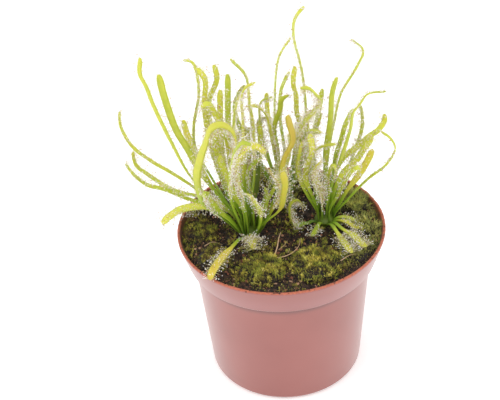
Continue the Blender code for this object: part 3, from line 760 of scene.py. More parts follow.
# %% Loose crumbs
FULL_TURN = 6.28
crumb_rule = Rule("loose_crumbs", PerMm2=0.8, Smallest=0.14, Largest=0.85, Seed=4, Look=None)
on_top = (crumb_rule.facing_up() > 0.3) * (crumb_rule.part("Z", crumb_rule.here()) > SOIL_LEVEL)
spread = crumb_rule.scattered(crumb_rule["Geometry"], crumb_rule["PerMm2"] * 1e6, Selection=on_top)["Points"]
stone = crumb_rule.node("GeometryNodeMeshIcoSphere", None, {"Radius": 1.0, "Subdivisions": 1})["Mesh"]
size = crumb_rule.draw(0.0, 1.0, 1) ** 2.5 * (crumb_rule["Largest"] - crumb_rule["Smallest"])
size = size + crumb_rule["Smallest"]
stretched = crumb_rule.vector("SCALE", crumb_rule.draw((0.6, 0.5, 0.4), (1.6, 1.2, 0.9), 2), scale=size * MM)
spun = crumb_rule.turned_by(crumb_rule.draw((0.0, 0.0, 0.0), (FULL_TURN, FULL_TURN, FULL_TURN), 3))
crumbs = crumb_rule.place_on(spread, stone, spun, stretched)
crumbs = crumb_rule.store(crumbs, "tint", crumb_rule.draw(0.0, 1.0, 5), "INSTANCE")
crumb_rule.closes_with(crumbs, crumb_rule["Look"])

bark = Finish("bark_and_peat")
tint = bark.kept("tint")
stops = [
    (0.0, paint(14, 12, 11)),
    (0.5, paint(48, 36, 29)),
    (0.74, paint(96, 68, 50)),
    (0.88, paint(168, 104, 80)),
    (1.0, paint(196, 160, 128)),
]
shade = bark.ramp(stops, tint + (bark.grain(2.0) - 0.5) * 0.3)
bark_look = bark.finish(shade, 0.75 + 0.2 * bark.grain(3.0), bark.grain(5.0), 0.1)
crumbs = crumb_rule.made_from(mix, "loose_crumbs", Look=bark_look)
hand_on(crumbs, "peat")

# %% [markdown]
# ## Moss
# Moss is a crowd of tiny shoots, each a stem ringed by pointed leaves. One shoot is built from six tiny
# spikes placed up a line, each turned on from the last by the golden angle, as real shoots do it. Then the
# shoot is scattered over the cushions, and more thinly over the bare soil between them.

# %% Moss shoots
GOLDEN_ANGLE = math.radians(137.5)
SHOOT = {"PerMm2": 4.2, "Tall": 1.4, "Leaf": 0.95, "Leaves": 6}
moss_rule = Rule("moss_shoots", **SHOOT, Patchy=0.0, Gaps=0.0, Seed=11, Bumps=1.0, Look=None)
where = moss_rule.here()
bump = (moss_rule.noise(where, 330.0) - 0.5) * moss_rule["Bumps"] * (2 * MM)
swollen = moss_rule.step("SetPosition", moss_rule["Geometry"], Offset=moss_rule.xyz(0.0, 0.0, bump))
patch = moss_rule.noise(where, 130.0)
inside = moss_rule.off_axis(where)
rearward = moss_rule.ease(-0.03, -0.01, moss_rule.part("Y", where))
near_wall = moss_rule.ease(0.0385, 0.042, inside)
tuft = moss_rule.noise(where, 420.0) + near_wall * (0.26 * rearward - 0.12)
patchy = moss_rule["Patchy"] * (1 - near_wall * rearward)
cover = 1 - moss_rule.ease(0.56, 0.46, patch) * patchy
cover = cover * moss_rule.ease(0.34, 0.46, tuft - moss_rule["Gaps"])
grows = (moss_rule.facing_up() > 0.1) * (moss_rule.part("Z", where) > SOIL_LEVEL)
grows = grows * (1 - (inside > 0.0404 + 0.003 * patch + 0.0022 * rearward))
density = moss_rule["PerMm2"] * 1e6 * cover * grows
shoots_at = moss_rule.scattered(moss_rule.store(swollen, "tuft", tuft), density)
step = moss_rule.xyz(0.0, 0.0, moss_rule["Tall"] * MM / moss_rule["Leaves"])
row = {"Count": moss_rule["Leaves"], "Offset": step}
stem = moss_rule.node("GeometryNodeMeshLine", {"mode": "OFFSET"}, row)[0]
order = moss_rule.node("GeometryNodeInputIndex")[0]
share = order / moss_rule["Leaves"]
leaf_turn = moss_rule.turned_by(moss_rule.xyz(1.15 - 0.85 * share, 0.0, order * GOLDEN_ANGLE))
spike = moss_rule.spike(moss_rule["Leaf"] * (0.03 * MM) + 0.09 * MM, moss_rule["Leaf"] * MM)
shoot = moss_rule.place_on(stem, spike, leaf_turn, moss_rule.xyz(1.5 - 0.6 * share, 0.7, 1.0 - 0.3 * share))
raised = moss_rule.part("Z", moss_rule.here()) / ((moss_rule["Tall"] + moss_rule["Leaf"] * 0.6) * MM)
shoot = moss_rule.store(moss_rule.step("RealizeInstances", shoot), "up", raised)
tilt = moss_rule.vector("ADD", shoots_at["Normal"], moss_rule.draw((-0.5, -0.5, 0.2), (0.5, 0.5, 0.9), 21))
rim_side = moss_rule.vector("MULTIPLY", where, (1, 1, 0))
inward = moss_rule.vector("SCALE", rim_side, scale=near_wall * (-32.0 + 24.0 * rearward))
spin = moss_rule.turned_by(moss_rule.xyz(0.0, 0.0, moss_rule.draw(0.0, FULL_TURN, 22)))
turns = {"Rotation": moss_rule.aimed(moss_rule.vector("ADD", tilt, inward)), "Rotate By": spin}
lean = moss_rule.node("FunctionNodeRotateRotation", {"rotation_space": "LOCAL"}, turns)[0]
vigour = moss_rule.draw(0.55, 1.15, 23) * (0.6 + 0.9 * moss_rule.ease(0.4, 0.62, moss_rule.carried("tuft")))
vigour = vigour * (1 - near_wall * (0.4 - 0.3 * rearward))
shoots = moss_rule.place_on(shoots_at["Points"], shoot, lean, vigour)
shoots = moss_rule.store(shoots, "tint", moss_rule.draw(0.0, 1.0, 24), "INSTANCE")
shown = {"Switch": moss_rule["Bumps"] > 0.01, "True": swollen}
bed = moss_rule.node("GeometryNodeSwitch", {"input_type": "GEOMETRY"}, shown)[0]
moss_rule.closes_with(moss_rule.join(moss_rule.smooth(bed), shoots), moss_rule["Look"])

moss = Finish("moss", Sheen_Weight=0.1)
up = moss.kept("up")
tint = moss.kept("tint")
patches = moss.grain(0.16, 2.0)
clumps = moss.grain(0.42, 3.0)
litter = moss.grain(0.9, 2.0)
sideways = moss.place_mm("X")
stops = [
    (0.0, paint(58, 46, 26)),
    (0.2, paint(124, 98, 44)),
    (0.4, paint(156, 152, 52)),
    (0.62, paint(240, 224, 88)),
    (0.84, paint(255, 244, 148)),
    (1.0, paint(244, 212, 140)),
]
richness = tint * 0.4 + moss.ease(0.3, 0.68, clumps) * 0.42 + (patches - 0.5) * 0.7
richness = richness - 0.12 * moss.ease(-12.0, -27.0, sideways)
tips = moss.ramp(stops, richness)
tips = moss.mix(0.5 * moss.ease(0.46, 0.6, moss.grain(0.24, 2.0)), tips, paint(150, 172, 52))
paler = moss.ease(8.0, 26.0, sideways + 0.5 * moss.place_mm("Y"))
tips = moss.mix(0.45 * paler, tips, paint(176, 190, 116))
brown = moss.ease(0.56, 0.64, litter) * (0.3 + 0.45 * moss.ease(-8.0, -26.0, sideways))
tips = moss.mix(brown, tips, moss.mix(tint, paint(92, 58, 40), paint(178, 118, 84)))
# Painted shade: low on each shoot, and on the cushion bed beneath, the colour goes to near black for the shade among
# the shoots.
moss_colour_with_painted_shade = moss.mix(moss.ease(0.0, 0.62, up), paint(34, 25, 21), tips)
moss_look = moss.finish(moss_colour_with_painted_shade, 0.8 + 0.1 * moss.grain(4.0), moss.grain(6.0), 0.05)
print("one shoot has 6 leaves of 4 faces")

# %% Moss cushions
MOSS = (
    ("moss_front_right", 14.0, -25.0, 10.5, 2.0),
    ("moss_front_left", -8.5, -27.0, 9.0, 1.8),
    ("moss_right_front", 31.5, -17.0, 6.5, 1.6),
    ("moss_right", 35.0, -2.0, 5.0, 1.2),
    ("moss_right_rear", 31.0, 16.0, 8.0, 1.6),
    ("moss_left_front", -28.5, -18.0, 7.5, 1.3),
    ("moss_left", -34.0, 1.0, 6.0, 1.3),
    ("moss_rear_left", -26.0, 21.0, 9.0, 1.7),
    ("moss_rear", -6.0, 35.0, 5.5, 1.4),
    ("moss_rear_right", 16.0, 33.5, 7.0, 1.6),
)
MOSS_SIDES = 40
MOSS_REACH = 41.0
MOSS_SHARES = (0.5, 0.93, 1.0, 0.93, 0.82, 0.65, 0.45, 0.22)
MOSS_RISES = (-0.2, -0.2, 0.3, 0.65, 0.85, 0.97, 1.03, 1.05)
LONG_SHOOTS = {"PerMm2": 1.9, "Tall": 2.8, "Leaf": 2.5, "Gaps": 0.09}
TALL_MOSS = ("moss_right_rear", "moss_right", "moss_rear_right", "moss_rear")


def moss_ring(x, y, radius, thickness, share, rise):
    """One ring of a cushion: a share of its uneven outline, raised by a share of its thickness."""
    angle = np.arange(MOSS_SIDES) * 2 * math.pi / MOSS_SIDES
    reach = radius * share * (1 + 0.07 * np.sin(3 * angle + x) + 0.04 * np.sin(5 * angle + y))
    px = x + reach * np.cos(angle)
    py = y + reach * np.sin(angle)
    inside = np.minimum(1.0, MOSS_REACH / np.hypot(px, py))
    px, py = px * inside, py * inside
    bump = 1 + 0.14 * np.sin(1.9 * px + 0.7 * py) * (rise > 0.6)
    return np.stack([px, py, ground_height(px, py) + thickness * rise * bump], axis=1)


for index, (name, x, y, radius, thickness) in enumerate(MOSS):
    level = float(ground_height(x, y))
    rings = [moss_ring(x, y, radius, thickness, *spot) for spot in zip(MOSS_SHARES, MOSS_RISES)]
    dome = mesh_object("dome", *skin((x, y, level - 0.3), rings, (x, y, level + 1.05 * thickness)))
    sizes = LONG_SHOOTS if name in TALL_MOSS else {}
    cushion = moss_rule.made_from(dome, name + "_shoots", Look=moss_look, Seed=11 + index, **sizes)
    remove(dome)
    hand_on(cushion, "moss", name)

# %% Moss between the cushions
SHORT_SHOOTS = {"PerMm2": 1.9, "Tall": 1.1, "Leaf": 0.95, "Patchy": 1.0, "Bumps": 0.0}
film = moss_rule.made_from(mix, "moss_film", Look=moss_look, Seed=40, **SHORT_SHOOTS)
hand_on(film, "moss")

# %% [markdown]
# ## Leaves
# Each leaf is a strap: a narrow green stalk, then a longer blade with a rounded end, bent along its length
# and twisted so that its sticky side faces one way. A leaf is described by few numbers: its crown, its
# heading, the lean of the plane that it bends in, its twist in the middle and at the tip, its width, how
# much of it is bare stalk, its tone from deep green to orange, how long its hairs are, and the points that
# its midrib passes. A rule turns these into a surface.

# %% Leaf table
# For each crown: heading in degrees from +X, lean towards +Y, twist, twist at the tip, width, share of bare stalk,
# tone (0 deep green to 1 orange), hair length against the usual, then the midrib's points as (reach, height)
LEAF_VALUES = 8
LEAVES = {
    "left": (
        (172, 8, 10, 10, 2.4, 0.42, 0.62, 1, (20, 20), (32, 29), (40, 34), (48, 41), (52, 50), (52, 57)),
        (165, 5, 12, 12, 2.4, 0.42, 0.58, 1.1, (19, 16), (31, 18), (38, 21), (44, 25), (49, 29), (50, 36)),
        (190, 0, 12, 12, 2.5, 0.42, 0.56, 1.1, (18, 20), (25, 24), (35, 31), (41, 34), (46, 40), (49, 46)),
        (165, -10, 50, 50, 3.6, 0.4, 0.66, 1.1, (10, 11), (19, 15), (25, 14), (31, 11), (36, 6), (40, 1)),
        (180, 5, -40, -50, 2.8, 0.42, 0.62, 0.8, (14, 17), (24, 32), (30, 47), (36, 65), (38, 73), (40, 79),
         (39, 86)),
        (188, 10, -65, -65, 3.7, 0.35, 0.58, 0.9, (7, 13), (18, 30), (24, 44), (28, 53), (32, 70), (33, 78)),
        (155, 18, 50, 50, 3.0, 0.42, 0.66, 1, (7, 8), (17, 18), (24, 29), (26, 36), (28, 41), (29, 46)),
        (173, 27, 20, 20, 2.4, 0.42, 0.6, 0.8, (8, 12), (15, 24), (22, 38), (22, 47), (19, 62), (21, 74),
         (25, 75)),
        (178, 15, 55, 55, 2.9, 0.42, 0.66, 1.1, (7, 14), (12, 30), (15, 45), (16, 60), (15, 70), (18, 75)),
        (180, 31, 60, 60, 2.9, 0.42, 0.6, 1.1, (3, 13), (10, 28), (14, 43), (15, 58), (11, 68), (12, 74)),
        (180, 9, 60, 40, 3.2, 0.42, 0.62, 1, (3, 10), (5, 20), (6, 31), (8, 49), (11, 56), (14, 62),
         (17, 61)),
        (190, -12, -50, -5, 4.2, 0.14, 0.68, 1.2, (9, 11), (15, 19), (19, 25), (20, 33), (20, 42), (18, 51),
         (15, 60), (12, 68), (8, 69), (4, 65), (3, 57), (5, 50)),
        (180, 14, 65, 65, 3.0, 0.42, 0.64, 1, (4, 15), (9, 31), (10, 46), (9, 66)),
        (180, 25, -65, -65, 3.2, 0.42, 0.52, 0.9, (2, 12), (5, 25), (7, 44), (6, 70)),
        (180, 3, 60, 10, 3.4, 0.42, 0.66, 0.9, (0, 9), (1, 20), (1, 36), (0, 58), (0, 67), (-2, 72),
         (-6, 74)),
        (180, -7, 25, 25, 2.4, 0.42, 0.56, 1.2, (1, 10), (2, 27), (4, 48), (3, 66), (1, 76)),
        (0, 8, 25, 25, 2.4, 0.42, 0.6, 1.2, (1, 15), (3, 27), (4, 41), (4, 54), (3, 62), (3, 69)),
        (0, -5, -60, -60, 3.2, 0.42, 0.98, 0.9, (8, 13), (13, 25), (16, 41), (20, 51), (19, 59), (18, 64)),
        (0, -24, -65, -65, 3.4, 0.42, 0.76, 1.2, (4, 6), (8, 13), (12, 19), (14, 23), (15, 31), (16, 42),
         (15, 52)),
        (0, -12, 30, 30, 2.7, 0.42, 0.84, 0.8, (6, 6), (10, 16), (14, 24), (13, 33), (11, 37), (10, 41)),
        (0, 17, -70, -70, 4.0, 0.42, 0.06, 0.8, (1, 6), (2, 12), (4, 27), (5, 38)),
        (180, -27, 40, 40, 2.6, 0.42, 0.5, 0.9, (7, 14), (12, 26), (15, 37), (16, 42), (17, 37)),
        (-116, 0, 0, 0, 4.0, 0.45, 0.86, 1.0, (10, 5), (17, 6), (24, 7), (31, 7), (36, 6), (38, 3)),
        (-85, 0, 0, 0, 3.7, 0.42, 0.66, 1.7, (4, 4), (8, 5), (13, 6), (15, 4)),
        (138, 0, 30, 30, 3.4, 0.42, 0.6, 1.3, (6, 5), (12, 8), (19, 9), (26, 6)),
        (0, -22, 20, 20, 3.2, 0.3, 0.66, 1.3, (-1, 17), (-2, 35), (-3, 52), (-1, 61), (2, 67), (5, 68),
         (9, 63)),
        (180, -3, 60, 60, 3.0, 0.42, 0.58, 1.2, (3, 9), (8, 27), (11, 45), (12, 58)),
        (180, -28, 8, 8, 2.2, 0.42, 0.48, 0.7, (4, 15), (6, 33), (6, 50), (4, 69), (2, 79), (-1, 84),
         (-4, 82)),
        (0, -2, 15, 15, 2.2, 0.42, 0.44, 0.6, (2, 13), (2, 22), (1, 29), (1, 34), (3, 38), (7, 41)),
        (180, -10, 60, 60, 3.0, 0.42, 0.58, 1, (2, 15), (5, 25), (7, 34), (9, 42), (10, 49)),
        (0, -31, 60, 60, 2.9, 0.42, 0.6, 0.9, (5, 15), (5, 28), (3, 40), (1, 46)),
        (0, -10, 40, 40, 2.4, 0.42, 0.5, 0.8, (5, 11), (8, 20), (8, 29)),
    ),
    "rear": (
        (180, 5, 15, 15, 2.4, 0.42, 0.5, 0.9, (4, 8), (8, 17), (12, 33), (13, 49), (14, 63), (20, 71)),
        (180, -10, -20, -20, 3.4, 0.42, 0.68, 0.9, (1, 11), (2, 24), (4, 37), (5, 48), (7, 55), (10, 58),
         (14, 58)),
        (0, 3, -55, -55, 3.2, 0.42, 0.54, 0.9, (-1, 12), (-2, 27), (-3, 38), (0, 47), (1, 52), (4, 54)),
        (0, 22, 15, 15, 2.4, 0.42, 0.58, 0.9, (-2, 12), (-3, 26), (-2, 48), (-1, 58), (1, 66), (6, 73)),
        (0, 12, 20, 20, 2.8, 0.42, 0.58, 0.9, (3, 8), (8, 20), (11, 39), (10, 61), (7, 77), (8, 84),
         (12, 89)),
        (0, 2, 50, 50, 2.9, 0.42, 0.64, 1.1, (3, 12), (6, 25), (8, 39), (7, 47), (7, 54), (6, 60), (7, 68)),
        (180, 12, 10, 10, 2.4, 0.42, 0.54, 1.1, (3, 11), (6, 22), (9, 38), (8, 48), (3, 50)),
        (0, 30, 30, 30, 3.0, 0.42, 0.52, 1, (0, 12), (1, 24), (0, 38), (1, 50), (5, 58)),
        (0, 25, 45, 45, 3.0, 0.42, 0.54, 1, (5, 9), (10, 19), (15, 32), (18, 44), (19, 50)),
        (0, -16, 35, 35, 3.2, 0.42, 0.5, 1.1, (3, 9), (6, 20), (8, 32), (8, 43)),
        (0, -20, 15, 15, 2.7, 0.42, 0.6, 1.4, (2, 14), (4, 30), (6, 45), (9, 57), (13, 64), (16, 71),
         (14, 76), (11, 80), (8, 80)),
    ),
    "right": (
        (0, 12, -65, -45, 3.7, 0.38, 0.56, 0.9, (1, 13), (1, 25), (2, 34), (4, 48), (5, 59), (7, 66)),
        (0, 22, 15, 15, 2.4, 0.42, 0.58, 0.9, (1, 14), (3, 32), (6, 45), (9, 56), (16, 67), (19, 74),
         (14, 79)),
        (10, 0, -50, -35, 3.5, 0.38, 0.58, 0.9, (2, 12), (5, 26), (8, 33), (12, 47), (13, 54), (16, 58),
         (19, 62), (27, 62)),
        (14, 12, 40, 40, 2.9, 0.42, 0.62, 1.1, (3, 12), (6, 23), (10, 29), (17, 33), (21, 36), (25, 38),
         (28, 42), (28, 45)),
        (4, 0, 60, 60, 3.3, 0.5, 0.76, 0.7, (4, 5), (7, 10), (10, 16), (14, 22), (18, 29), (21, 36)),
        (-12, 0, 8, 8, 2.2, 0.42, 0.58, 0.5, (5, 6), (10, 13), (15, 20), (20, 26), (26, 32), (30, 41),
         (28, 46), (24, 49)),
        (0, -20, 10, 10, 2.4, 0.42, 0.56, 0.7, (2, 9), (5, 19), (8, 29), (12, 39), (14, 40), (14, 37)),
        (25, 1, 45, 45, 3.0, 0.42, 0.64, 1.1, (3, 8), (6, 17), (10, 23), (16, 27), (20, 32), (24, 36)),
        (180, 17, 40, 40, 2.7, 0.42, 0.56, 1.1, (1, 10), (2, 19), (4, 31), (4, 38), (2, 43), (0, 49)),
        (180, -14, 60, 60, 3.2, 0.42, 0.64, 1.1, (3, 10), (6, 21), (8, 31), (7, 39), (5, 47), (6, 57)),
        (180, -6, 50, 50, 2.4, 0.42, 0.62, 0.9, (3, 6), (7, 16), (10, 25), (11, 33), (10, 40), (9, 46)),
        (180, -19, 30, 30, 3.0, 0.3, 0.66, 1.6, (1, 8), (1, 17), (2, 26), (4, 33), (4, 40), (2, 44)),
        (0, -9, 20, 20, 2.4, 0.42, 0.58, 0.8, (1, 10), (2, 20), (2, 29), (4, 34), (5, 31), (4, 26)),
        (5, 33, 40, 40, 3.2, 0.42, 0.54, 1, (2, 7), (5, 22), (7, 30), (9, 35), (11, 41), (15, 48)),
        (-22, 0, 0, 0, 2.2, 0.42, 0.6, 0.9, (6, 4), (10, 5), (15, 4)),
        (-37, 0, 0, 0, 2.7, 0.42, 0.76, 0.8, (7, 4), (12, 5), (15, 4), (18, 4)),
        (-70, 0, 0, 0, 3.4, 0.5, 0.66, 1.3, (8, 4), (15, 4), (22, 4), (29, 4)),
        (-56, 0, 0, 0, 3.6, 0.5, 0.66, 1.3, (7, 4), (13, 4), (20, 5), (25, 4), (29, 4)),
        (-112, 0, 0, 0, 2.4, 0.42, 0.45, 0.9, (6, 4), (12, 4), (16, 4)),
        (207, 0, 15, 15, 3.0, 0.2, 0.6, 1.4, (6, 3), (11, 2), (15, 5), (17, 11), (16, 17), (13, 17),
         (11, 13)),
    ),
}
print({crown: len(leaves) for crown, leaves in LEAVES.items()}, "leaves are placed by hand")

# %% [markdown]
# A midrib is a smooth run through its points. A Catmull-Rom curve passes through every point that it is
# given, which makes it easy to steer. Each point of the midrib is then lifted clear of the moss and the rim.

# %% Midrib
ROOT_SPREAD = 3.4
ROOT_RISE = 1.4
OVER_MOSS = 3.5
OVER_RIM = 1.6


def catmull_rom(points, per_span=14):
    """A smooth run of points through the given ones."""
    control = [np.array(point, float) for point in points]
    control = [2 * control[0] - control[1], *control, 2 * control[-1] - control[-2]]
    run = []
    for index in range(1, len(control) - 2):
        a, b, c, d = control[index - 1 : index + 3]
        knots = [0.0]
        for one, two in ((a, b), (b, c), (c, d)):
            knots.append(knots[-1] + math.sqrt(max(1e-6, float(np.linalg.norm(two - one)))))
        t0, t1, t2, t3 = knots
        for part in range(per_span):
            t = t1 + (t2 - t1) * part / per_span
            a1 = (t1 - t) / (t1 - t0) * a + (t - t0) / (t1 - t0) * b
            a2 = (t2 - t) / (t2 - t1) * b + (t - t1) / (t2 - t1) * c
            a3 = (t3 - t) / (t3 - t2) * c + (t - t2) / (t3 - t2) * d
            b1 = (t2 - t) / (t2 - t0) * a1 + (t - t0) / (t2 - t0) * a2
            b2 = (t3 - t) / (t3 - t1) * a2 + (t - t1) / (t3 - t1) * a3
            run.append((t2 - t) / (t2 - t1) * b1 + (t - t1) / (t2 - t1) * b2)
    run.append(control[-2])
    return np.array(run)


def rest_height(x, y):
    """The lowest height for a midrib: clear of the moss inside the pot and of the rim above it."""
    radius = np.hypot(x, y)
    inward = np.minimum(1.0, 38 / np.maximum(radius, 1))
    inside = ground_height(inward * x, inward * y) + OVER_MOSS
    over = POT_HEIGHT + OVER_RIM
    near = inside + (over - inside) * ease(35, 41, radius)
    return np.where(radius < 41, near, np.where(radius < 48, over, 0.0))


def midrib(crown, heading, lean, points):
    """The leaf's midrib in space, with the directions of its reach and of its rise."""
    out = np.array([math.cos(math.radians(heading)), math.sin(math.radians(heading)), 0.0])
    rise = np.array([0.0, math.sin(math.radians(lean)), math.cos(math.radians(lean))])
    base = np.array([*CROWNS[crown], GROUND])
    control = [base + reach * out + height * rise for reach, height in points]
    away = np.array([control[0][0] - base[0], control[0][1] - base[1], 0.0])
    spread = ROOT_SPREAD * away / max(ROOT_SPREAD, float(np.linalg.norm(away)))
    run = catmull_rom([base + spread + np.array([0.0, 0.0, ROOT_RISE]), *control])
    away = np.hypot(run[:, 0] - base[0], run[:, 1] - base[1])
    # Within its crown a leaf may lie lower, down to its root
    sunk = 3.0 * (1 - ease(5, 10, away)) + 90 * (1 - ease(3, 5, away))
    run[:, 2] = np.maximum(run[:, 2], rest_height(run[:, 0], run[:, 1]) - sunk)
    return run, out, rise


print("midribs pass", sum(len(leaf) - LEAF_VALUES for group in LEAVES.values() for leaf in group), "points")

# %% Blade
STALK_WIDTH = 1.8
TIP_SHARE = 1.1


def unit(rows):
    """Each row as a vector of length 1."""
    return rows / np.linalg.norm(rows, axis=1)[:, None]


def half_width(place, length, width, stalk):
    """Half the leaf's width: a narrow stalk, a long blade and a rounded tip."""
    share = place / length
    wide = STALK_WIDTH + (width - STALK_WIDTH) * ease(stalk - 0.08, stalk + 0.14, share)
    wide = wide * (1 + 0.25 * (1 - ease(0.0, 0.12, share)))
    left = np.minimum(1.0, (length - place) / (TIP_SHARE * width))
    return wide * np.sqrt(np.maximum(0.0, 1 - (1 - left) ** 2)) / 2


class Blade:
    """A leaf's midrib with its frame: the tangent, the width and the way that the sticky face looks."""

    def __init__(self, crown, heading, lean, twist, tip_twist, width, stalk, tone, hair, points):
        run, self.out, self.rise = midrib(crown, heading, lean, points)
        self.crown, self.run, self.width, self.stalk = crown, run, width, stalk
        self.tone, self.hair = tone, hair
        self.along = np.concatenate([[0.0], np.cumsum(np.linalg.norm(np.diff(run, axis=0), axis=1))])
        self.length = self.along[-1]
        self.tangents = unit(np.gradient(run, self.along, axis=0))
        self.twist = math.radians(twist)
        self.untwist = math.radians(tip_twist - twist)
        side = np.cross(self.out, self.rise)
        self.side = side / np.linalg.norm(side) * (-1 if side[1] > 0 else 1)

    def between(self, places, values):
        """What lies along the midrib, read at lengths between its points."""
        return np.stack([np.interp(places, self.along, values[:, axis]) for axis in range(3)], axis=1)

    def sections(self, places):
        """Midrib points, width directions, sticky-face directions and half widths at lengths along the leaf."""
        points = self.between(places, self.run)
        tangents = unit(self.between(places, self.tangents))
        across = unit(self.side - tangents * (tangents @ self.side)[:, None])
        inner = np.cross(across, tangents)
        inward = self.rise * (tangents @ self.out)[:, None] - self.out * (tangents @ self.rise)[:, None]
        inner *= np.where((inner * inward).sum(axis=1) < 0, -1.0, 1.0)[:, None]
        share = places / self.length
        turn = (self.twist * ease(0.05, 0.5, share) + self.untwist * ease(0.45, 0.75, share))[:, None]
        face = inner * np.cos(turn) + across * np.sin(turn)
        wide = across * np.cos(turn) - inner * np.sin(turn)
        return points, wide, face, half_width(places, self.length, self.width, self.stalk)

    def samples(self, root):
        """Points over the blade past its root, to keep leaves apart."""
        points, wide, _, half = self.sections(np.arange(root, self.length, 1.2))
        reach = wide * half[:, None]
        return np.stack([points - reach, points, points + reach], axis=1).reshape(-1, 3)


blades = []
for crown, group in LEAVES.items():
    blades += [Blade(crown, *leaf[:LEAF_VALUES], leaf[LEAF_VALUES:]) for leaf in group]
lengths = [round(blade.length) for blade in blades]
print("leaf lengths, mm:", min(lengths), "to", max(lengths))

# %% [markdown]
# The leaves behind and between the others grow by rule: a draw sets the length, the start angle and the
# curl, and the leaf is kept only where it stands clear of all before it. The seed is fixed, so they are the
# same each time.

# %% Leaves by rule
FILL_SEED = 29
FILL_COUNT = 18
FILL_TRIES = 420
CLEARANCE = 1.8
CROWDED = 17.0
FILL_TONES = (0.54, 0.6, 0.64, 0.5, 0.68, 0.58)


def gap_to(spots, others):
    """The shortest distance between two sets of points."""
    if not len(spots) or not len(others):
        return math.inf
    return float(np.sqrt(((spots[:, None, :] - others[None, :, :]) ** 2).sum(axis=2).min()))


def grown_points(rng):
    """A leaf by rule: it rises from its root, and its tip bends in towards the crown."""
    length = rng.uniform(36, 60)
    start = rng.uniform(52, 80)
    lift = rng.uniform(-4, 18)
    curl = rng.uniform(25, 110)
    reach, height = 0.8, 1.2
    points = []
    steps = 24
    for step in range(1, steps + 1):
        share = step / steps
        angle = math.radians(start + lift * share + curl * ease(0.62, 1.0, share))
        reach += length / steps * math.cos(angle)
        height += length / steps * math.sin(angle)
        if step in (5, 10, 15, 19, 22, 24):
            points.append((reach, height))
    return tuple(points)


def grown_leaves(blades):
    """Further leaves, each kept only where it stands clear of all before it."""
    rng = np.random.default_rng(FILL_SEED)
    clouds = [(blade.crown, blade.samples(CROWDED), blade.samples(5.0)) for blade in blades]
    added = []
    for _ in range(FILL_TRIES):
        crown = ("left", "right", "rear")[int(rng.integers(3))]
        heading = rng.uniform(15, 165)
        width = rng.uniform(2.4, 3.3)
        twist = rng.uniform(-50, 50)
        tone = FILL_TONES[len(added) % len(FILL_TONES)]
        lean = rng.uniform(-4, 10)
        leaf = Blade(crown, heading, lean, twist, 0.5 * twist, width, 0.4, tone, 1.1, grown_points(rng))
        near = leaf.samples(CROWDED)
        spots = leaf.samples(5.0)
        gaps = []
        for own, tip, whole in clouds:
            gaps.append(gap_to(near, tip) if own == crown else gap_to(spots, whole))
        if min(gaps) > CLEARANCE:
            clouds.append((crown, near, spots))
            added.append(leaf)
        if len(added) == FILL_COUNT:
            break
    return added


blades += grown_leaves(blades)
print("leaves in all:", {crown: sum(blade.crown == crown for blade in blades) for crown in CROWNS})

# %% [markdown]
# The surface of a leaf is a ring of twelve points carried along the midrib: seven over the sticky face,
# which is slightly channelled, and five over the keeled back. Every point also remembers how far along and
# across the leaf it lies, and which way a hair would grow there. The material and the hairs both read these.

# %% Leaf surface
RING_STEP = 1.0
ACROSS = np.array((-1.0, -0.78, -0.42, 0.0, 0.42, 0.78, 1.0, 0.78, 0.42, 0.0, -0.42, -0.78))
ON_FACE = np.array((1.0,) * 7 + (0.0,) * 5)
TIP_RINGS = (0.8, 0.62, 0.46, 0.32, 0.2, 0.11, 0.05, 0.015)
CHANNEL = 0.22
THICK = 0.5
SLIMMER = 0.9
HAIR_MIDDLE = 0.55
HAIR_MARGIN = 1.25
HAIR_SPLAY = 80.0


def leaf_surface(leaf):
    """Points and faces of one closed leaf, and what each of its points remembers."""
    tip = TIP_SHARE * leaf.width
    end = leaf.length - tip
    places = np.linspace(0.0, end, max(6, round(end / RING_STEP)))
    places = np.concatenate([places, leaf.length - np.array(TIP_RINGS) * tip])
    points, wide, face, half = (np.expand_dims(part, 1) for part in leaf.sections(places))
    half = SLIMMER * half
    share = places[:, None] / leaf.length
    across = ACROSS[None, :]
    blade = ease(leaf.stalk - 0.08, leaf.stalk + 0.14, share)
    sticky = ease(leaf.stalk - 0.04, leaf.stalk + 0.14, share) * ON_FACE * max(1.0, leaf.hair) ** 3
    body = THICK * (1.5 - 0.5 * blade) * np.minimum(1.0, half / 0.9) * np.sqrt(1.06 - across**2) * 0.5
    lift = CHANNEL * half * (across**2 - 0.4) + body * np.where(ON_FACE, 1.0, -1.35)
    rings = points + wide * (half * across)[..., None] + face * lift[..., None]
    splay = math.radians(HAIR_SPLAY) * across[..., None]
    on_face = face * np.cos(splay) + wide * np.sin(splay)
    way = np.where(ON_FACE[None, :, None] > 0, on_face, wide * np.sign(across)[..., None] + face * 0.2)
    reach = (HAIR_MIDDLE + (HAIR_MARGIN - HAIR_MIDDLE) * across**2) * leaf.hair * (0.75 + 0.25 * blade)
    margin = np.where(np.abs(across) == 1.0, sticky, 0.0)
    tone = np.full_like(share, leaf.tone)
    columns = np.broadcast_arrays(share, across, tone, sticky, reach, margin, ON_FACE)
    notes = np.concatenate([np.stack(columns, axis=2), way], axis=2).reshape(len(rings) * len(ACROSS), -1)
    points, faces = skin(rings[0].mean(axis=0), list(rings), leaf.sections(np.array([leaf.length]))[0][0])
    return points, faces, np.vstack([notes[:1], notes, notes[-1:]])


points, faces, notes = leaf_surface(blades[0])
print("one leaf has", len(points), "points and", len(faces), "faces")

# %% [markdown]
# A leaf's colour isn't even: the stalk is fresh green, the blade yellow green, the ends of old blades gold.
# Light passes through the thin blade and leaves it a little brighter. Fine lines run along it.

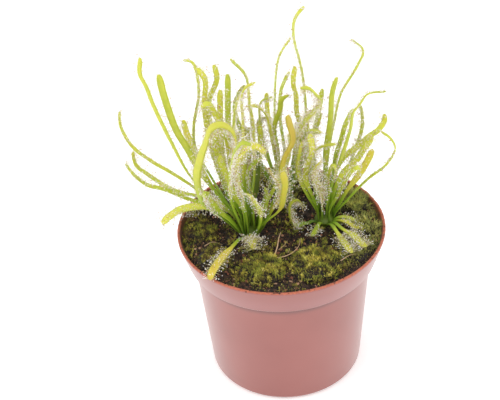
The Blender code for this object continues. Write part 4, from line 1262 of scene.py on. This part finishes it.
# %% Leaf finish
GLOW_DEPTH = 1.6 * MM
leafy = Finish("sundew_leaf", Subsurface_Weight=0.4, Subsurface_Radius=(1.0, 1.0, 0.4), Subsurface_Scale=GLOW_DEPTH)
along = leafy.kept("along")
across = leafy.kept("across")
tone = leafy.kept("tone")
mottle = leafy.grain(0.35, 3.0)
cells = leafy.grain(2.4, 2.0)
stops = [
    (0.0, paint(54, 88, 18)),
    (0.3, paint(112, 140, 30)),
    (0.5, paint(182, 196, 56)),
    (0.66, paint(216, 216, 80)),
    (0.84, paint(222, 200, 78)),
    (1.0, paint(208, 178, 70)),
]
deep = leafy.mix(leafy.ease(0.02, 0.25, along), paint(62, 100, 18), paint(148, 180, 44))
rusty = leafy.ease(0.85, 0.95, tone) * leafy.ease(0.68, 0.45, along)
shift = tone + (mottle - 0.5) * 0.3 + leafy.ease(0.55, 1.0, along) * 0.05 - 0.02 - 0.5 * rusty
young = leafy.ease(0.22, 0.5, along + (mottle - 0.5) * 0.1)
veins = across.math("COSINE", across * 17.0) * 0.5 + 0.5
green = leafy.mix(young, deep, leafy.ramp(stops, shift))
edge = leafy.ease(0.55, 1.0, across.math("ABSOLUTE", across))
green = leafy.mix(veins * 0.1 + cells * 0.1 + edge * 0.22, green, paint(128, 158, 34))
outer_side = leafy.ease(0.5, 0.2, leafy.kept("front"))
green = leafy.mix(outer_side * 0.24, green, paint(150, 148, 48))
leaf_look = leafy.finish(green, 0.42 + 0.16 * mottle, veins * 0.5 + cells * 0.5, 0.06)


NOTED = ("along", "across", "tone", "sticky", "hair", "margin", "front")


def kept_values(mesh, notes):
    """Stores what each point remembers as named values on the mesh."""
    for column, name in enumerate(NOTED):
        layer = mesh.attributes.new(name, "FLOAT", "POINT")
        layer.data.foreach_set("value", np.ascontiguousarray(notes[:, column], dtype=np.float32))
    layer = mesh.attributes.new("way", "FLOAT_VECTOR", "POINT")
    ways = np.ascontiguousarray(notes[:, len(NOTED) :], dtype=np.float32)
    layer.data.foreach_set("vector", ways.reshape(-1))


CROWN_RADIUS = 4.5
CROWN_PROFILE = (
    (0.0, GROUND - STEM_DEPTH),
    (STEM_RADIUS - 0.6, GROUND - STEM_DEPTH),
    (STEM_RADIUS, GROUND - STEM_DEPTH + 1.2),
    (STEM_RADIUS, GROUND + 0.6),
    (CROWN_RADIUS - 0.6, GROUND + 0.9),
    (CROWN_RADIUS, GROUND + 2.2),
    (CROWN_RADIUS - 1.0, GROUND + 3.7),
    (CROWN_RADIUS - 2.6, GROUND + 4.5),
    (0.0, GROUND + 4.8),
)


def rosette(crown):
    """One rosette: its stem and crown, and all its leaves, as one mesh with its remembered values."""
    points, faces = turned(rounded(CROWN_PROFILE, 0.8), 30, CROWNS[crown])
    shapes = [(points, faces, np.zeros((len(points), len(NOTED) + 3)))]
    shapes += [leaf_surface(leaf) for leaf in blades if leaf.crown == crown]
    made = mesh_object("sundew_" + crown + "_leaves", *gathered(shapes), leaf_look)
    kept_values(made.data, np.vstack([shape[2] for shape in shapes]))
    return made


rosettes = {crown: rosette(crown) for crown in CROWNS}
for crown, piece in rosettes.items():
    hand_on(piece, "sundew_leaf", "sundew_" + crown)

# %% [markdown]
# A few dead stalks and roots lie between the cushions. Each is a thin tapering tube along a bent line, which
# is given by a handful of points over the soil.

# %% Dry stalks
DRY_SIDES = 6
# For each stalk: its radius, then its points as across, to the rear and above the ground
DRY_STALKS = (
    (0.32, (-3.4, -17.5, 0.4), (-1.9, -14.6, 3.4), (-1.2, -12.6, 6.0), (-0.2, -11.0, 8.2)),
    (0.26, (-6.2, -19.0, 0.6), (-2.5, -20.2, 1.3), (1.6, -19.6, 1.6), (5.2, -16.6, 1.8), (7.4, -13.2, 2.6),
     (7.8, -10.4, 3.2)),
    (0.2, (-1.4, -13.4, 0.5), (1.2, -11.4, 1.6), (2.4, -8.6, 1.8)),
    (0.22, (24.0, -24.5, 2.0), (28.6, -21.4, 2.8), (32.4, -20.4, 2.2)),
    (0.2, (-33.0, -10.5, 1.2), (-29.4, -9.0, 2.0), (-25.2, -9.8, 1.0)),
)


def dry_stalk(radius, points):
    """A tapering tube over the soil."""
    run = catmull_rom([np.array([x, y, ground_height(x, y) + up]) for x, y, up in points])
    ahead = unit(np.gradient(run, axis=0))
    aside = unit(np.cross(ahead, (0.3, 0.2, 1.0)))
    over = np.cross(aside, ahead)
    turns = np.arange(DRY_SIDES) * 2 * math.pi / DRY_SIDES
    thin = radius * np.linspace(1.0, 0.35, len(run))[:, None, None]
    ring = aside[:, None] * np.cos(turns)[None, :, None] + over[:, None] * np.sin(turns)[None, :, None]
    return skin(run[0], list(run[:, None] + thin * ring), run[-1])


straw = Finish("dry_straw")
straw_colour = straw.mix(straw.grain(0.5), paint(186, 146, 112), paint(232, 200, 160))
straw_look = straw.finish(straw_colour, 0.7 + 0.1 * straw.grain(3.0))
tubes = [dry_stalk(radius, points) for radius, *points in DRY_STALKS]
hand_on(mesh_object("dry_stalks", *gathered(tubes), straw_look), "peat")

# %% [markdown]
# ## Sticky hairs
# The hairs are what a sundew is known for. Each is a thin stalk with a drop of glue at its end. The rule
# scatters points over the sticky faces and adds a row along both margins, where the hairs are longest. It
# reads which way and how far a hair grows at each point, puts a thin cone of four faces there, and a drop of
# ten faces at its end. Simple shapes are enough, because there are thousands of them.

# %% Hair finishes
stalk = Finish("hair_stalk", Subsurface_Weight=0.2, Subsurface_Radius=(1.0, 0.9, 0.8), Subsurface_Scale=0.0005)
stalk_colour = stalk.mix(stalk.grain(0.4), paint(228, 228, 140), paint(238, 216, 178))
stalk_look = stalk.finish(stalk_colour, 0.35 + 0.1 * stalk.grain(3.0))
drop = Finish(
    "glue_drop", IOR=1.4, Subsurface_Weight=0.4, Subsurface_Radius=(1.0, 1.0, 1.0), Subsurface_Scale=0.0006
)
tint = drop.kept("tint")
clear = drop.mix(tint, paint(238, 232, 214), paint(252, 244, 244))
drop_colour = drop.mix(drop.ease(0.14, 0.2, tint), paint(190, 150, 116), clear)
drop_look = drop.finish(drop_colour, 0.08 + 0.05 * drop.grain(2.0))
print("hair finishes:", stalk_look.name, drop_look.name)

# %% Hair rule
hair_rule = Rule(
    "sticky_hairs", PerMm2=1.2, Long=2.1, Thick=0.075, Drop=0.24, Stray=0.5, Seed=7, StalkLook=None, Look=None
)
density = hair_rule["PerMm2"] * 1e6 * hair_rule.carried("sticky")
on_blade = hair_rule.scattered(hair_rule["Geometry"], density)["Points"]
kept = {"Mesh": hair_rule["Geometry"], "Selection": hair_rule.carried("margin") > hair_rule.draw(0.0, 0.95, 30)}
at_margin = hair_rule.node("GeometryNodeMeshToPoints", None, kept)[0]
each = hair_rule.node("GeometryNodeInputIndex")[0]
roots = hair_rule.step("SetID", hair_rule.join(on_blade, at_margin), ID=each)
roots = hair_rule.store(roots, "reach", hair_rule.carried("hair") * hair_rule.draw(0.35, 1.2, 32))
astray = hair_rule.draw((-1.0, -1.0, -1.0), (1.0, 1.0, 1.0), 31)
astray = hair_rule.vector("SCALE", astray, scale=hair_rule["Stray"])
way = hair_rule.vector("NORMALIZE", hair_rule.vector("ADD", hair_rule.carried("way", "FLOAT_VECTOR"), astray))
turn = hair_rule.aimed(way)
long = hair_rule["Long"] * MM
cone = hair_rule.spike(hair_rule["Thick"] * MM, long)
cone = hair_rule.step("SetMaterial", cone, Material=hair_rule["StalkLook"])
reach = hair_rule.carried("reach")
girth = 0.6 + 0.5 * reach
stalks = hair_rule.place_on(roots, hair_rule.smooth(cone), turn, hair_rule.xyz(girth, girth, reach))
ends = hair_rule.step("SetPosition", roots, Offset=hair_rule.vector("SCALE", way, scale=reach * long))
ball = {"Segments": 5, "Rings": 2, "Radius": hair_rule["Drop"] * MM}
bead = hair_rule.node("GeometryNodeMeshUVSphere", None, ball)["Mesh"]
bead = hair_rule.step("SetMaterial", bead, Material=hair_rule["Look"])
plump = hair_rule.draw(0.7, 1.2, 33)
drops = hair_rule.place_on(ends, hair_rule.smooth(bead), turn, hair_rule.xyz(plump, plump, plump * 1.25))
drops = hair_rule.store(drops, "tint", hair_rule.draw(0.0, 1.0, 34), "INSTANCE")
hair_rule.feed(hair_rule.end.inputs[0], hair_rule.step("RealizeInstances", hair_rule.join(stalks, drops)))

for index, (crown, piece) in enumerate(rosettes.items()):
    looks = {"StalkLook": stalk_look, "Look": drop_look}
    hairs = hair_rule.made_from(piece, "sundew_" + crown + "_hairs", **looks, Seed=7 + index)
    hand_on(hairs, "sundew_leaf")
    print(triangles(hairs) // 14, "hairs")

# %% [markdown]
# ## Finish
# The triangles of all shown pieces are counted.

# %% Finish
shown = [item for item in scene.objects if item.type == "MESH" and not item.hide_render and item is not floor]
print("all pieces:", sum(triangles(item) for item in shown), "triangles")
